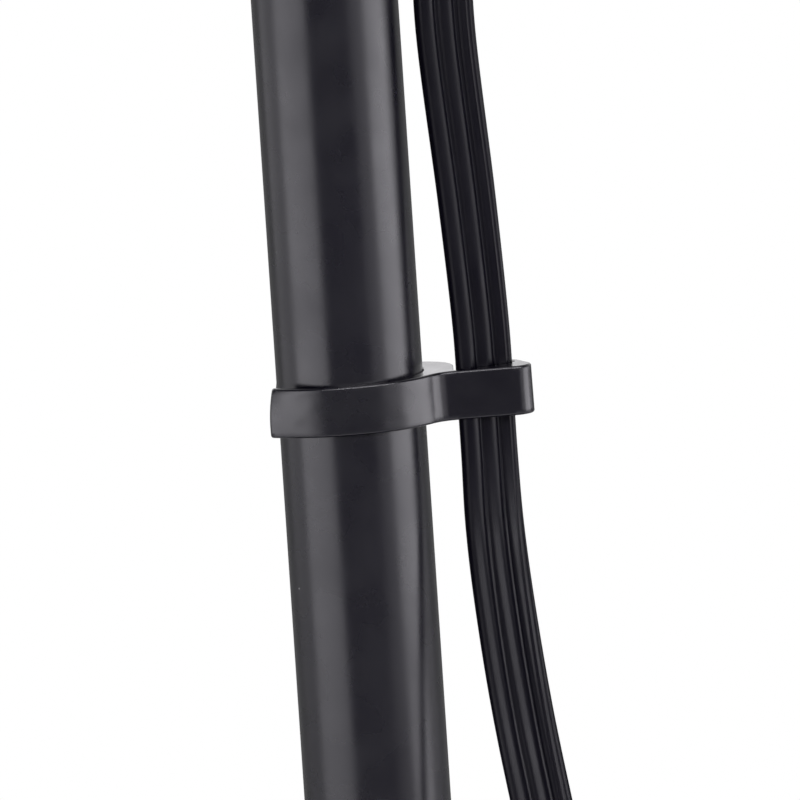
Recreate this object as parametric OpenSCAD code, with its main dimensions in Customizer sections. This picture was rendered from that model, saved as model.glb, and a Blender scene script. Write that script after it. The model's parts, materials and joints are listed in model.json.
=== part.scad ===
// Pedestal fan on a round weighted base: telescopic pole, tilting and oscillating
// head, caged blades, and a flat three-core lead held to the pole by a snap clip.
// Millimetres, +Z up, the air goes towards -Y. The origin is the bottom centre of the base.

/* [Base] */
// Diameter of the base cover
base_d = 400; // [390:5:460]
// Height of the flat in the middle of the base cover
base_h = 45; // [42:1:60]
// Height of the middle of the cover's rounded rim
rim_z = 16.8; // [16:0.2:20]
// Depth of the flat below the crown of the dome
dome_cut = 2.5; // [2:0.1:4]
// Radius of the rounded rim of the cover
rim_round = 6; // [4:0.5:8]
// Sheet thickness of the cover
cover_t = 1.5; // [1:0.1:2.5]
// Height of the cover's lower edge above the floor
cover_gap = 6; // [4:0.5:8]
// Gap between the cast weight and the wall of the cover
weight_gap = 13.5; // [10:0.5:30]
// Thickness of the cast weight
weight_t = 6; // [4:0.5:14]
// Diameter of the boss of the weight under the flange
boss_d = 96; // [90:1:110]
// Depth of the weight under the end of the pole
pole_floor = 19; // [16:1:24]
// Diameter of a rubber foot
foot_d = 24; // [16:1:30]
// Height of a rubber foot
foot_h = 6.5; // [5:0.5:9]
// Depth of a foot's seat in the weight
foot_seat = 1.5; // [1:0.1:2.5]
// Distance of the feet from the edge of the weight
foot_inset = 20; // [18:1:40]
// Number of feet
foot_count = 6; // [4:2:8]

/* [Pole flange] */
// Diameter of the flange
flange_d = 92; // [84:1:100]
// Thickness of the flange
flange_t = 5; // [4:0.5:7]
// Height of the flange's socket above the cover
flange_h = 38; // [30:1:60]
// Wall of the flange's socket
flange_wall = 4; // [3:0.5:6]
// Radius of the fillet at the foot of the socket
flange_fillet = 9; // [5:0.5:12]
// Diameter of the flange's bolt circle
flange_bolt_ring = 72; // [68:1:78]
// Number of flange bolts
flange_bolts = 3; // [3:1:6]

/* [Pole] */
// Outer diameter of the lower pole
pole_d = 25.4; // [25:0.1:28]
// Wall of the lower pole
pole_wall = 1.2; // [1:0.1:1.6]
// Length of the lower pole
pole_len = 520; // [500:5:640]
// Outer diameter of the upper pole
mast_d = 19; // [18:0.1:19.5]
// Wall of the upper pole
mast_wall = 1.2; // [1:0.1:2]
// Length of the upper pole
mast_len = 400; // [380:5:420]
// Bare length of the upper pole at its lowest setting
mast_show = 105; // [100:1:125]
// Height travel of the upper pole
lift = 200; // [100:5:200]
// Height of the guide at the upper pole's foot
guide_h = 15; // [10:1:18]
// Height of the bush in the lower pole's mouth
bush_h = 35; // [25:1:36]

/* [Height collar] */
// Outer diameter of the collar
collar_d = 37; // [35:0.5:38]
// Length of the collar over the lower pole
collar_grip = 40; // [36:1:50]
// Length of the collar above the lower pole
collar_head = 30; // [28:1:40]
// Diameter of the collar's top edge
collar_top_d = 29; // [27:0.5:32]
// Diameter of the lock screw
lock_screw_d = 8; // [6:0.5:8]
// Diameter of the lock knob
lock_knob_d = 34; // [26:1:40]
// Depth of the lock knob
lock_knob_h = 18; // [12:1:24]
// Lobes of the lock and tilt knobs
knob_lobes = 6; // [5:1:8]

/* [Lead clip] */
// Height of the middle of the clip
clip_z = 330; // [300:1:360]
// Height of the clip's band
clip_h = 8.6; // [6:0.2:12]
// Cant of the clip on the pole, in degrees
clip_cant = 0.8; // [0:0.1:1.5]
// Wall of the clip's ring
clip_wall = 1.1; // [0.9:0.1:2]
// Wall in the middle of the clip's front
clip_front = 1.6; // [1.4:0.1:2]
// Radius of the front beside the arm over that of the ring
clip_bow = 1.28; // [1.16:0.01:1.34]
// Radius of the finger lip over that of the ring
lip_bow = 1.58; // [1.5:0.01:1.8]
// Wall of the finger lip
lip_wall = 1.2; // [1:0.1:1.4]
// Reach of the finger lip past the side of the ring
clip_lip = 0; // [0:0.1:1.5]
// Width of the split behind the finger lip, in degrees
clip_split = 84; // [60:1:90]
// Distance from the pole's axis to the end of the arm
clip_reach = 31.5; // [31.5:0.5:36]
// Distance of the arm's front face from the pole's axis
clip_face = 5.6; // [5.5:0.1:7]
// Radius of the arm's outer corner
clip_corner = 3; // [2:0.1:3.2]
// Wall of the arm's hook behind the lead
clip_hook = 1.6; // [1.2:0.1:2]
// Radius of the fillet between the ring and the arm
clip_fillet = 5; // [2.5:0.1:6]

/* [Lead] */
// Diameter of one core's lobe
lead_lobe = 3.6; // [3:0.1:3.6]
// Distance between neighbouring cores
lead_pitch = 3.5; // [3:0.1:3.5]
// Thickness of the web between two cores
lead_web = 1.9; // [1.6:0.1:2.2]
// Distance from the middle of the lead to the pole's axis at the clip
lead_off = 23.2; // [23.2:0.1:24]
// Distance of the lead's middle in front of the pole's axis at the clip
lead_fore = 1; // [0.8:0.1:1.2]
// Turn of the lead's flat side in the clip, in degrees
lead_turn = 29; // [24:1:30]
// Room round the lead in the clip
lead_room = 0.3; // [0.2:0.05:0.4]
// Radius of the coil's outermost turn
coil_r = 60; // [60:1:64]
// Distance from turn to turn of the coil
coil_step = 4.4; // [4.3:0.1:5]
// Height of the coil's upper layer over its lower one
coil_rise = 11.8; // [11.6:0.1:13]

/* [Control box] */
// Width of the control box
box_w = 84; // [80:1:110]
// Depth of the control box
box_d = 64; // [60:1:80]
// Height of the control box
box_h = 110; // [105:1:130]
// Radius of the box's upright edges
box_round = 14; // [10:1:18]
// Wall of the box
box_wall = 2.5; // [2:0.1:3]
// Depth of the front panel's shell
panel_d = 20; // [18:1:22]
// Depth of the socket for the upper pole
socket_h = 40; // [30:1:44]
// Wall of the socket for the upper pole
socket_wall = 4; // [3:0.5:6]
// Height of the speed knob above the box's floor
speed_h = 70; // [66:1:76]
// Diameter of the speed knob
speed_d = 34; // [24:1:40]
// Depth of the speed knob
speed_knob_h = 17; // [12:1:18]
// Diameter of the speed switch's shaft
speed_shaft_d = 6; // [5:0.5:8]
// Edge of the speed switch's body
switch_w = 30; // [24:1:34]
// Depth of the speed switch's body
switch_d = 16; // [14:1:20]
// Length of the lead gland
gland_h = 32; // [24:1:32]
// Distance of the lead gland from the pole's axis
gland_off = 32; // [31.5:0.1:32.5]

/* [Tilt joint] */
// Height of the tilt axis above the control box
tilt_h = 35; // [32:1:45]
// Radius of the cheeks about the tilt axis
cheek_r = 20; // [17:0.5:21]
// Thickness of a cheek
cheek_t = 8; // [6:0.5:10]
// Width of the neck between the cheeks
neck_w = 27.4; // [24:0.2:30]
// Diameter of the tilt bolt
tilt_bolt_d = 8; // [6:0.5:10]
// Diameter of the tilt knob
tilt_knob_d = 32; // [26:1:36]
// Depth of the tilt knob
tilt_knob_h = 20; // [14:1:26]
// Height of the turret's foot above the tilt axis
turret_rise = 24; // [22:1:28]
// Height of the turret
turret_h = 22; // [18:1:28]
// Diameter of the turret
turret_d = 40; // [36:1:46]
// Diameter of the swivel post
post_d = 14; // [12:0.5:16]
// Thickness of the swivel washer
washer_t = 1.2; // [1:0.1:2]
// Height of the motor's axis above the tilt axis
head_rise = 120; // [118:1:130]

/* [Motor] */
// Diameter of the motor shell
shell_d = 128; // [124:1:140]
// Wall of the motor shell
shell_t = 2.2; // [1.6:0.1:3]
// Length of the shell's straight part before the swivel axis
shell_front = 72; // [72:1:76]
// Number of vent slots round the shell
vent_count = 20; // [12:2:28]
// Width of a vent slot
vent_w = 3; // [2:0.5:4]
// Length of a vent slot
vent_len = 28; // [16:1:32]
// Diameter of the stator
stator_d = 88; // [80:1:92]
// Length of the stator stack
stator_len = 24; // [18:1:26]
// Diameter of the rotor
rotor_d = 52; // [44:1:56]
// Gap between rotor and stator
air_gap = 0.5; // [0.4:0.1:0.8]
// Diameter of the motor shaft
shaft_d = 8; // [6:0.5:9]
// Diameter of a bearing
bearing_d = 17; // [15:0.5:20]
// Length of a bearing
bearing_len = 8; // [6:1:9]
// Diameter of the motor brackets
bracket_d = 108; // [104:1:112]
// Thickness of the motor brackets
bracket_t = 4; // [3:0.5:5]
// Width of the gearbox
gear_w = 46; // [42:1:56]
// Travel of the oscillation knob
osc_travel = 10; // [6:1:12]
// Diameter of the oscillation knob
osc_knob_d = 18; // [14:1:22]

/* [Guards] */
// Radius of the cage at its rim
cage_r = 213; // [205:1:225]
// Radius of the bend at the rim
cage_bend = 28; // [24:1:32]
// Radius of a cage wire
wire_r = 1.2; // [1:0.1:1.5]
// Radius of a rim wire
rim_r = 2.4; // [2:0.1:3]
// Number of radial wires of each guard
wire_count = 72; // [36:12:96]
// Bend of the front wires, in degrees
front_bend = 80; // [78:1:82]
// Thickness of the guard plate
plate_t = 3; // [2:0.5:4]
// Diameter of the guard plate's threaded boss
plate_boss_d = 44; // [40:1:50]
// Height of the guard plate's threaded boss
plate_boss_h = 13; // [11:1:14]
// Diameter of the guard nut
guard_nut_d = 78; // [70:1:82]
// Diameter of the centre badge
badge_d = 108; // [104:1:120]
// Number of rim clips
rim_clips_n = 4; // [4:2:8]

/* [Blades] */
// Number of blades
blade_count = 5; // [3:1:5]
// Radius of the blades' tips
blade_r = 190; // [170:1:194]
// Diameter of the blade hub
hub_d = 76; // [70:1:84]
// Depth of the blade hub
hub_h = 28; // [26:1:32]
// Chord of a blade at its root
root_chord = 40; // [30:1:42]
// Chord of a blade at its tip
tip_chord = 104; // [80:1:110]
// Pitch of a blade at its root, in degrees
root_pitch = 38; // [30:1:40]
// Pitch of a blade at its tip, in degrees
tip_pitch = 22; // [16:1:24]
// Thickness of a blade
blade_t = 2.4; // [2:0.1:3]
// Sweep of the tip ahead of the root, in degrees
blade_sweep = 16; // [0:1:24]

/* [Hidden] */
$fn = 96;

// Clearances: a seated piece, a turning or sliding fit, and room between moving faces
fit = 0.1;
run_fit = 0.06;
free = 0.3;
// Overshoot of a cut past the face that it opens
past = 1;
// Overlap that lets two faces cross where they would only touch
sliver = 0.02;

// Base
base_r = base_d / 2;
weight_z = foot_h - foot_seat;
weight_r = base_r - cover_t - weight_gap;
foot_ring = weight_r - foot_inset;
cover_under = base_h - cover_t;
crown_z = base_h + dome_cut;
dome_rise = crown_z - rim_z;
rim_in = base_r - rim_round;
dome_r = (pow(dome_rise, 2) + pow(rim_in, 2) - pow(rim_round, 2)) / (2 * (dome_rise - rim_round));
pole_r = pole_d / 2;
pole_ir = pole_r - pole_wall;
pole_z = weight_z + pole_floor;
pole_top = pole_z + pole_len;
bolt_r = 4;
bolt_head_r = 7;
bolt_head_h = 5;
plug_len = 24;
small_bolt_r = 2.5;
small_bolt_len = 18;
small_head_r = 4.5;
small_head_h = 3.2;

// Pole and collar
mast_r = mast_d / 2;
box_z = pole_top + mast_show;
mast_top = box_z + box_wall + socket_h;
mast_z = mast_top - mast_len;
bush_lip = 3;
lock_z = pole_top + bush_lip + (collar_head - bush_lip) / 2;
lock_boss_r = lock_screw_d / 2 + 4.5;
lock_boss_y = collar_d / 2 + 10;
lock_knob_gap = 4;

// Lead
lead_w = 2 * lead_pitch + lead_lobe;
clip_ir = pole_r + fit + clip_h / 2 * tan(clip_cant);
clip_r = clip_ir + clip_wall;
clip_fore = clip_ir + clip_front;
lead_at = [lead_off, -lead_fore];
lead_dir = [cos(lead_turn), sin(lead_turn)];
coil_turn = -44.24;
coil_off = base_r + coil_r + 5.2;
coil_at = [coil_off * cos(coil_turn), coil_off * sin(coil_turn), lead_w / 2 + 1.6];
coil_end = 810;
coil_climb = [450, 540];
coil_rings = 24;
plug_x = coil_at[0] - 106;
plug_z = 13;

// Control box
box_top = box_z + box_h;
split_y = panel_d - box_d / 2;
speed_z = box_z + speed_h;
speed_r = speed_shaft_d / 2;
switch_y = box_wall - box_d / 2;
screw_r = 1.75;
screw_post_r = 4.2;
screw_x = box_w / 2 - box_wall - screw_post_r + 0.6;
screw_low = box_z + box_wall + screw_post_r + 1;
screw_high = box_top - box_wall - screw_post_r - 1;

// Tilt joint and swivel
tilt_z = box_top + tilt_h;
cheek_x = neck_w / 2 + free;
cheek_out = cheek_x + cheek_t;
turret_z = tilt_z + turret_rise;
turret_top = turret_z + turret_h;
post_r = post_d / 2;
motor_z = tilt_z + head_rise;
swivel_z = turret_top + washer_t + 2 * fit;
swivel_wall = 8;

// Motor, as distances ahead of the swivel axis
shell_r = shell_d / 2;
gear_front = 12;
gear_back = -32;
gear_up = 26;
gear_down = 30;
rear_face = gear_front;
winding_room = 12;
stator_z = rear_face + bracket_t + winding_room;
stator_end = stator_z + stator_len;
front_face = stator_end + winding_room;
bearing_r = bearing_d / 2;
shaft_r = shaft_d / 2;
rotor_r = rotor_d / 2;
motor_screw_ring = (stator_d / 2 + bracket_d / 2) / 2 + 0.5;
osc_y = gear_up;
osc_stem_r = 5;
osc_depth = 18;
osc_z = -10;
osc_head_h = 14;

// Guards
plate_z = shell_front;
ring_z = plate_z + plate_t;
ring_t = 1.2;
nut_z = ring_z + ring_t;
nut_h = 9.5;
rear_wire_z = nut_z + wire_r + fit;
bend_x = cage_r - cage_bend;
rear_rim_z = rear_wire_z + cage_bend + rim_r + fit;
front_rim_z = rear_rim_z + 2 * rim_r + 2 * fit;
front_wire_z = front_rim_z + rim_r + fit;
knee_x = bend_x + cage_bend * cos(front_bend);
knee_z = front_wire_z + cage_bend * sin(front_bend);
wire_end = badge_d / 2 - 8;
tie_rings = [0.40, 0.62, 0.82];
function front_z(x) = knee_z + (knee_x - x) / tan(front_bend);
badge_z = front_z(wire_end) + wire_r / sin(front_bend) + 2 * fit;

// Blades
hub_z = plate_z + plate_t + plate_boss_h + 12;
hub_wall = 4;
hub_boss_r = shaft_r + 7;
hub_r = hub_d / 2;
pin_r = 1.5;
pin_z = hub_z + pin_r + 1;
blade_z = hub_z + hub_h / 2;
spinner_z = hub_z + hub_h;
spinner_h = 15;
spinner_r = 15;
shaft_end = spinner_z + spinner_h - 5;
blade_rows = 9;
blade_cols = 7;

// Places a head piece: its own +Z looks forward along the motor's axis
module ahead() {
    translate([0, 0, motor_z]) rotate([90, 0, 0]) children();
}

// Repeats a piece on a circle
module around(count, radius, start = 0) {
    for (i = [0 : count - 1]) rotate(start + i * 360 / count) translate([radius, 0, 0]) children();
}

// A tube standing on its lower face
module tube(outer, inner, height) {
    difference() {
        cylinder(r = outer, h = height);
        translate([0, 0, -past]) cylinder(r = inner, h = height + 2 * past);
    }
}

// Outline of a rectangle with round corners
module round_area(w, d, r) {
    square([w - 2 * r, d], center = true);
    square([w, d - 2 * r], center = true);
    for (x = [-1, 1], y = [-1, 1]) translate([x * (w / 2 - r), y * (d / 2 - r)]) circle(r);
}

// Half section of a domed disc with a round rim
module dome_area(r, top, crown_r, round_r, low) {
    centre_z = top - crown_r + sqrt(pow(crown_r - round_r, 2) - pow(r - round_r, 2));
    touch_x = (r - round_r) * crown_r / (crown_r - round_r);
    intersection() {
        translate([0, top - crown_r]) circle(crown_r, $fn = 720);
        translate([0, low]) square([touch_x, top - low]);
    }
    translate([r - round_r, centre_z]) circle(round_r);
    translate([0, low]) square([r, centre_z - low]);
}

// Half section of a hollow fillet standing at a corner
module fillet_area(x, z, r) {
    translate([x, z]) difference() {
        square(r);
        translate([r, r]) circle(r);
    }
}

// A hand knob along +Z with lobes and a raised face
module lobed_knob(d, h) {
    lobe_r = d / 7;
    cylinder(r = d / 2 - lobe_r / 2, h = h);
    around(knob_lobes, d / 2 - lobe_r) cylinder(r = lobe_r, h = h);
    translate([0, 0, h]) cylinder(r1 = d / 3, r2 = d / 4, h = 2);
}

// Base

module base_weight() {
    color("dimgray") difference() {
        union() {
            translate([0, 0, weight_z]) cylinder(r = weight_r, h = weight_t);
            translate([0, 0, weight_z]) cylinder(d = boss_d, h = cover_under - weight_z);
        }
        translate([0, 0, pole_z]) cylinder(r = pole_r + fit, h = base_h);
        translate([0, 0, weight_z - past]) cylinder(r = bolt_r + fit, h = base_h);
        translate([0, 0, weight_z - past]) cylinder(r = bolt_head_r + 2, h = bolt_head_h + 2 + past);
        around(foot_count, foot_ring, 30)
            translate([0, 0, weight_z - past]) cylinder(r = foot_d / 2 + fit, h = foot_seat + past);
        around(flange_bolts, flange_bolt_ring / 2)
            translate([0, 0, base_h + flange_t - small_bolt_len - past])
                cylinder(r = small_bolt_r + fit, h = base_h);
    }
}

module base_cover() {
    color("#3a3b40") difference() {
        rotate_extrude() difference() {
            intersection() {
                dome_area(base_r, crown_z, dome_r, rim_round, cover_gap);
                square([base_d, base_h]);
            }
            intersection() {
                dome_area(base_r - cover_t, crown_z - cover_t, dome_r - cover_t,
                          rim_round - cover_t, cover_gap - past);
                square([base_d, cover_under]);
            }
        }
        cylinder(r = pole_r + fit, h = base_h + past);
        around(flange_bolts, flange_bolt_ring / 2) cylinder(r = small_bolt_r + fit, h = base_h + past);
    }
}

module base_feet() {
    color("#1c1c1e") around(foot_count, foot_ring, 30) cylinder(d = foot_d, h = foot_h);
}

module base_flange() {
    wall_r = pole_r + fit + flange_wall;
    color("#2c2d31") difference() {
        rotate_extrude() {
            translate([pole_r + fit, base_h]) square([flange_d / 2 - pole_r - fit, flange_t]);
            translate([pole_r + fit, base_h]) square([flange_wall, flange_h]);
            fillet_area(wall_r, base_h + flange_t, flange_fillet);
        }
        around(flange_bolts, flange_bolt_ring / 2) cylinder(r = small_bolt_r + fit, h = base_h + flange_h);
        around(flange_bolts, flange_bolt_ring / 2)
            translate([0, 0, base_h + flange_t]) cylinder(r = small_head_r + 1, h = flange_h);
    }
}

module flange_bolts() {
    color("silver") around(flange_bolts, flange_bolt_ring / 2) translate([0, 0, base_h + flange_t]) {
        translate([0, 0, -small_bolt_len]) cylinder(r = small_bolt_r, h = small_bolt_len);
        difference() {
            cylinder(r = small_head_r, h = small_head_h);
            translate([0, 0, small_head_h / 2]) cylinder(r = 2.5, h = small_head_h, $fn = 6);
        }
    }
}

module pole_plug() {
    color("gray") translate([0, 0, pole_z]) tube(pole_ir - fit, bolt_r + fit, plug_len);
}

module pole_bolt() {
    head_z = weight_z + 2;
    color("silver") translate([0, 0, head_z]) {
        cylinder(r = bolt_head_r, h = bolt_head_h, $fn = 6);
        cylinder(r = bolt_r, h = pole_z - head_z + plug_len - 2);
    }
}

// Pole, clip and collar

module outer_pole() {
    color("#46474c") translate([0, 0, pole_z]) tube(pole_r, pole_ir, pole_len);
}

// Outline of the lead's three lobes, grown by some room
module lead_area(room) {
    for (k = [-1 : 1]) translate([k * lead_pitch, 0]) circle(lead_lobe / 2 + room);
    square([2 * lead_pitch, lead_web + 2 * room], center = true);
}

// Gives an outline the height of the clip's band, or more for a cut
module clip_slab(over = 0) {
    translate([0, 0, -clip_h / 2 - over]) linear_extrude(clip_h + 2 * over) children();
}

// Snap clip: a split ring with a flatter front, a finger lip, and an arm that hooks round the lead
module lead_clip() {
    near_lobe = lead_at - lead_pitch * lead_dir;
    pocket_x = near_lobe[0] - lead_lobe / 2 - lead_room + sliver;
    color("#232327") translate([0, 0, clip_z]) rotate([0, -clip_cant, 0]) difference() {
        union() {
            clip_ring();
            clip_lip();
            clip_arm();
            clip_hook();
            clip_slab() translate([clip_r - 4, 1.9]) circle(clip_r * 0.59);
        }
        clip_slab(past) circle(clip_ir);
        clip_slab(past) translate(lead_at) rotate(lead_turn) lead_area(lead_room);
        clip_slab(past) translate([pocket_x, near_lobe[1]]) square([lead_off - 0.5 - pocket_x, clip_r]);
    }
}

module clip_ring() {
    far = 2 * clip_r;
    difference() {
        clip_slab() circle(clip_r);
        clip_slab(past) rotate(244 - clip_split)
            polygon([[0, 0], [far, 0], [far * cos(clip_split), far * sin(clip_split)]]);
    }
}

module clip_lip() {
    lip_r = clip_r * lip_bow;
    lip_x = clip_r + clip_lip;
    clip_slab() intersection() {
        translate([0, lip_r - clip_fore]) difference() {
            circle(lip_r);
            circle(lip_r - lip_wall);
        }
        translate([-lip_x, -clip_fore - past]) square([lip_x, clip_fore]);
    }
}

// Front of the ring beside the arm, the arm, and the fillet between them
module clip_arm() {
    bow_r = clip_r * clip_bow;
    bow_y = bow_r - clip_fore;
    fillet_y = -clip_face - clip_fillet;
    fillet_x = sqrt(pow(bow_r + clip_fillet, 2) - pow(bow_y - fillet_y, 2));
    difference() {
        union() {
            clip_slab() intersection() {
                translate([0, bow_y]) circle(bow_r);
                translate([0, -clip_fore - past]) square([bow_r, clip_fore + past + 2]);
            }
            clip_slab() polygon([[0, bow_y], [fillet_x, bow_y], [fillet_x, fillet_y]]);
            clip_slab() translate([clip_r, -clip_face])
                square([clip_reach - clip_corner - clip_r, clip_face - lead_fore]);
        }
        clip_slab(past) translate([fillet_x, fillet_y]) circle(clip_fillet + sliver);
    }
}

// End of the arm: its round corner, the hook round the outer core, and the flat between them
module clip_hook() {
    corner = [clip_reach - clip_corner, clip_corner - clip_face - sliver];
    hook = lead_at + lead_pitch * lead_dir;
    hook_r = lead_lobe / 2 + lead_room + clip_hook;
    span = hook - corner;
    lean = atan2(span[1], span[0]) - acos((clip_corner - hook_r) / norm(span));
    touch = [cos(lean), sin(lean)];
    clip_slab() translate(corner) circle(clip_corner);
    clip_slab() translate(hook) circle(hook_r);
    clip_slab() polygon([
        corner, corner + (clip_corner - sliver) * touch, hook + (hook_r - sliver) * touch, hook
    ]);
}

module collar_bush() {
    color("whitesmoke") translate([0, 0, pole_top - bush_h]) {
        tube(pole_ir - fit, mast_r + run_fit, bush_h + bush_lip);
        translate([0, 0, bush_h]) tube(pole_r, mast_r + run_fit, bush_lip);
    }
}

module height_collar() {
    collar_r = collar_d / 2;
    head_top = pole_top + collar_head;
    color("#232327") difference() {
        union() {
            translate([0, 0, pole_top - collar_grip]) cylinder(r1 = collar_r - 1.5, r2 = collar_r, h = 6);
            translate([0, 0, pole_top - collar_grip + 6]) cylinder(r = collar_r, h = collar_grip + 2);
            translate([0, 0, pole_top + 8])
                cylinder(r1 = collar_r, r2 = collar_top_d / 2, h = head_top - pole_top - 8);
            translate([0, 0, lock_z]) rotate([-90, 0, 0]) cylinder(r = lock_boss_r, h = lock_boss_y);
            around(8, collar_r, 22.5)
                translate([0, 0, pole_top - collar_grip + 8]) cylinder(r = 1.2, h = collar_grip - 4);
        }
        translate([0, 0, pole_top - collar_grip - past])
            cylinder(r = pole_r + fit, h = collar_grip + bush_lip + past);
        translate([0, 0, pole_top]) cylinder(r = mast_r + free, h = collar_head + past);
        translate([0, 0, lock_z]) rotate([-90, 0, 0])
            cylinder(r = lock_screw_d / 2 + run_fit, h = lock_boss_y + past);
    }
}

module lock_knob() {
    tip_y = mast_r + free;
    head_y = lock_boss_y + lock_knob_gap;
    color("#1c1c1e") translate([0, 0, lock_z]) rotate([-90, 0, 0]) {
        translate([0, 0, tip_y]) cylinder(d = lock_screw_d, h = head_y - tip_y);
        translate([0, 0, head_y]) lobed_knob(lock_knob_d, lock_knob_h);
    }
}

// Mast

module inner_pole() {
    color("silver") translate([0, 0, mast_z]) tube(mast_r, mast_r - mast_wall, mast_len);
}

module mast_guide() {
    color("whitesmoke") translate([0, 0, mast_z]) tube(pole_ir - run_fit, mast_r + fit / 2, guide_h);
}

// Hollow of the control box, without its posts and socket
module box_hollow() {
    translate([0, 0, box_z + box_wall]) linear_extrude(box_h - 2 * box_wall)
        round_area(box_w - 2 * box_wall, box_d - 2 * box_wall, box_round - box_wall);
}

module box_block() {
    translate([0, 0, box_z]) linear_extrude(box_h) round_area(box_w, box_d, box_round);
}

// Screw posts or screw holes along Y at the four corners
module box_posts(r, from_y, to_y) {
    for (x = [-1, 1], z = [screw_low, screw_high])
        translate([x * screw_x, from_y, z]) rotate([-90, 0, 0]) cylinder(r = r, h = to_y - from_y);
}

module control_box() {
    rear_in = box_d / 2 - box_wall;
    color("#26262a") difference() {
        union() {
            difference() {
                box_block();
                box_hollow();
                translate([-box_w, -box_d, box_z - past])
                    cube([2 * box_w, box_d + split_y, box_h + 2 * past]);
            }
            box_posts(screw_post_r, split_y, rear_in + box_wall / 2);
            translate([0, 0, box_z]) cylinder(r = mast_r + fit + socket_wall, h = socket_h + 2 * box_wall);
            for (side = [-1, 1]) translate([side * (cheek_x + cheek_t / 2), 0, 0]) cheek();
        }
        translate([0, 0, box_z - past]) cylinder(r = mast_r + fit, h = socket_h + box_wall + past);
        box_posts(screw_r + fit, split_y - past, box_d);
        box_posts(screw_r + 2, rear_in - 4, box_d);
        translate([-box_w, 0, tilt_z]) rotate([0, 90, 0])
            cylinder(r = tilt_bolt_d / 2 + run_fit, h = 2 * box_w);
        translate([gland_off, 0, box_z - past]) cylinder(r = gland_neck_r + fit, h = box_wall + 2 * past);
    }
}

// One cheek of the tilt joint, standing on the control box
module cheek() {
    sunk = box_wall / 2;
    rotate([90, 0, 90]) translate([0, 0, -cheek_t / 2]) linear_extrude(cheek_t) {
        translate([0, tilt_z]) circle(cheek_r);
        translate([-cheek_r, box_top + fit]) square([2 * cheek_r, tilt_z - box_top - fit]);
        translate([split_y, box_top - sunk]) square([cheek_r - split_y, tilt_z - box_top + sunk]);
    }
}

module control_panel() {
    color("#303136") difference() {
        union() {
            difference() {
                box_block();
                box_hollow();
                translate([-box_w, split_y, box_z - past]) cube([2 * box_w, box_d, box_h + 2 * past]);
            }
            box_posts(screw_post_r, box_wall / 2 - box_d / 2, split_y);
        }
        translate([0, 0, box_z - past])
            cylinder(r = mast_r + 2 * fit + socket_wall, h = box_h - 2 * box_wall);
        box_posts(screw_r + fit, split_y - 10, split_y + past);
        translate([0, 0, speed_z]) rotate([90, 0, 0]) cylinder(r = speed_r + free, h = box_d);
    }
}

module panel_screws() {
    rear_in = box_d / 2 - box_wall;
    color("silver") {
        box_posts(screw_r, split_y - 9, rear_in - 4);
        box_posts(screw_r + 1.6, rear_in - 4, rear_in - 1.5);
    }
}

module speed_switch() {
    color("ivory") difference() {
        translate([-switch_w / 2, switch_y, speed_z - switch_w / 2]) cube([switch_w, switch_d, switch_w]);
        translate([0, switch_y + switch_d - 4, speed_z]) rotate([90, 0, 0])
            cylinder(r = speed_r + run_fit, h = switch_d);
    }
}

module speed_knob() {
    face_y = box_d / 2 + 2 * free;
    stem = face_y + switch_y + switch_d - 6;
    color("#1c1c1e") translate([0, -face_y, speed_z]) rotate([90, 0, 0]) {
        cylinder(d1 = speed_d, d2 = speed_d - 4, h = speed_knob_h - 8);
        translate([0, 0, speed_knob_h - 8]) cylinder(d = speed_d - 8, h = 2);
        translate([-3.5, 2 - speed_d / 2, speed_knob_h - 8]) cube([7, speed_d - 4, 8]);
        translate([0, 0, -stem]) cylinder(r = speed_r, h = stem);
    }
}

module run_capacitor() {
    cap_d = 15;
    cap_y = box_d / 2 - box_wall - cap_d;
    cap_z = box_z + socket_h + 3 * box_wall + 4;
    color("black") translate([-18, cap_y, cap_z]) cube([36, cap_d, 26]);
}

// Lead gland: a tapered sleeve whose neck is clipped into the floor of the box
gland_neck_r = 6.9;
gland_end_r = 7.2;

module lead_gland() {
    color("#1c1c1e") translate([gland_off, 0, box_z]) difference() {
        union() {
            translate([0, 0, -gland_h]) cylinder(r1 = gland_end_r, r2 = gland_neck_r + 1.5, h = gland_h);
            cylinder(r = gland_neck_r, h = box_wall);
        }
        translate([0, 0, -gland_h - past]) rotate(route_up[0][3])
            linear_extrude(gland_seat + past) lead_area(lead_room);
    }
}

// Tilt joint

module tilt_neck() {
    color("#26262a") difference() {
        union() {
            rotate([90, 0, 90]) translate([0, 0, -neck_w / 2]) linear_extrude(neck_w) {
                translate([0, tilt_z]) circle(cheek_r - 0.5);
                translate([0.5 - cheek_r, tilt_z]) square([2 * cheek_r - 1, turret_rise]);
            }
            translate([0, 0, turret_z]) cylinder(d = turret_d, h = turret_h);
        }
        translate([-neck_w, 0, tilt_z]) rotate([0, 90, 0])
            cylinder(r = tilt_bolt_d / 2 + run_fit, h = 2 * neck_w);
        translate([0, 0, turret_z + 4]) cylinder(r = post_r + fit / 2, h = turret_h);
    }
}

module tilt_bolt() {
    head_h = 5;
    end = cheek_out + tilt_knob_h / 2;
    color("silver") translate([0, 0, tilt_z]) rotate([0, 90, 0]) {
        translate([0, 0, -end]) cylinder(d = tilt_bolt_d, h = end + cheek_out);
        translate([0, 0, cheek_out]) cylinder(d = tilt_bolt_d + 6, h = head_h);
    }
}

module tilt_knob() {
    color("#1c1c1e") translate([-cheek_out - free, 0, tilt_z]) rotate([0, -90, 0]) difference() {
        lobed_knob(tilt_knob_d, tilt_knob_h);
        translate([0, 0, -past]) cylinder(r = tilt_bolt_d / 2 + run_fit, h = tilt_knob_h / 2 + past + free);
    }
}

module swivel_post() {
    top = motor_z - gear_down + 12;
    color("silver") translate([0, 0, turret_z + 4]) cylinder(r = post_r, h = top - turret_z - 4);
}

module swivel_washer() {
    color("whitesmoke") translate([0, 0, turret_top + fit])
        tube(post_r + swivel_wall, post_r + run_fit, washer_t);
}

// Head

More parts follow.
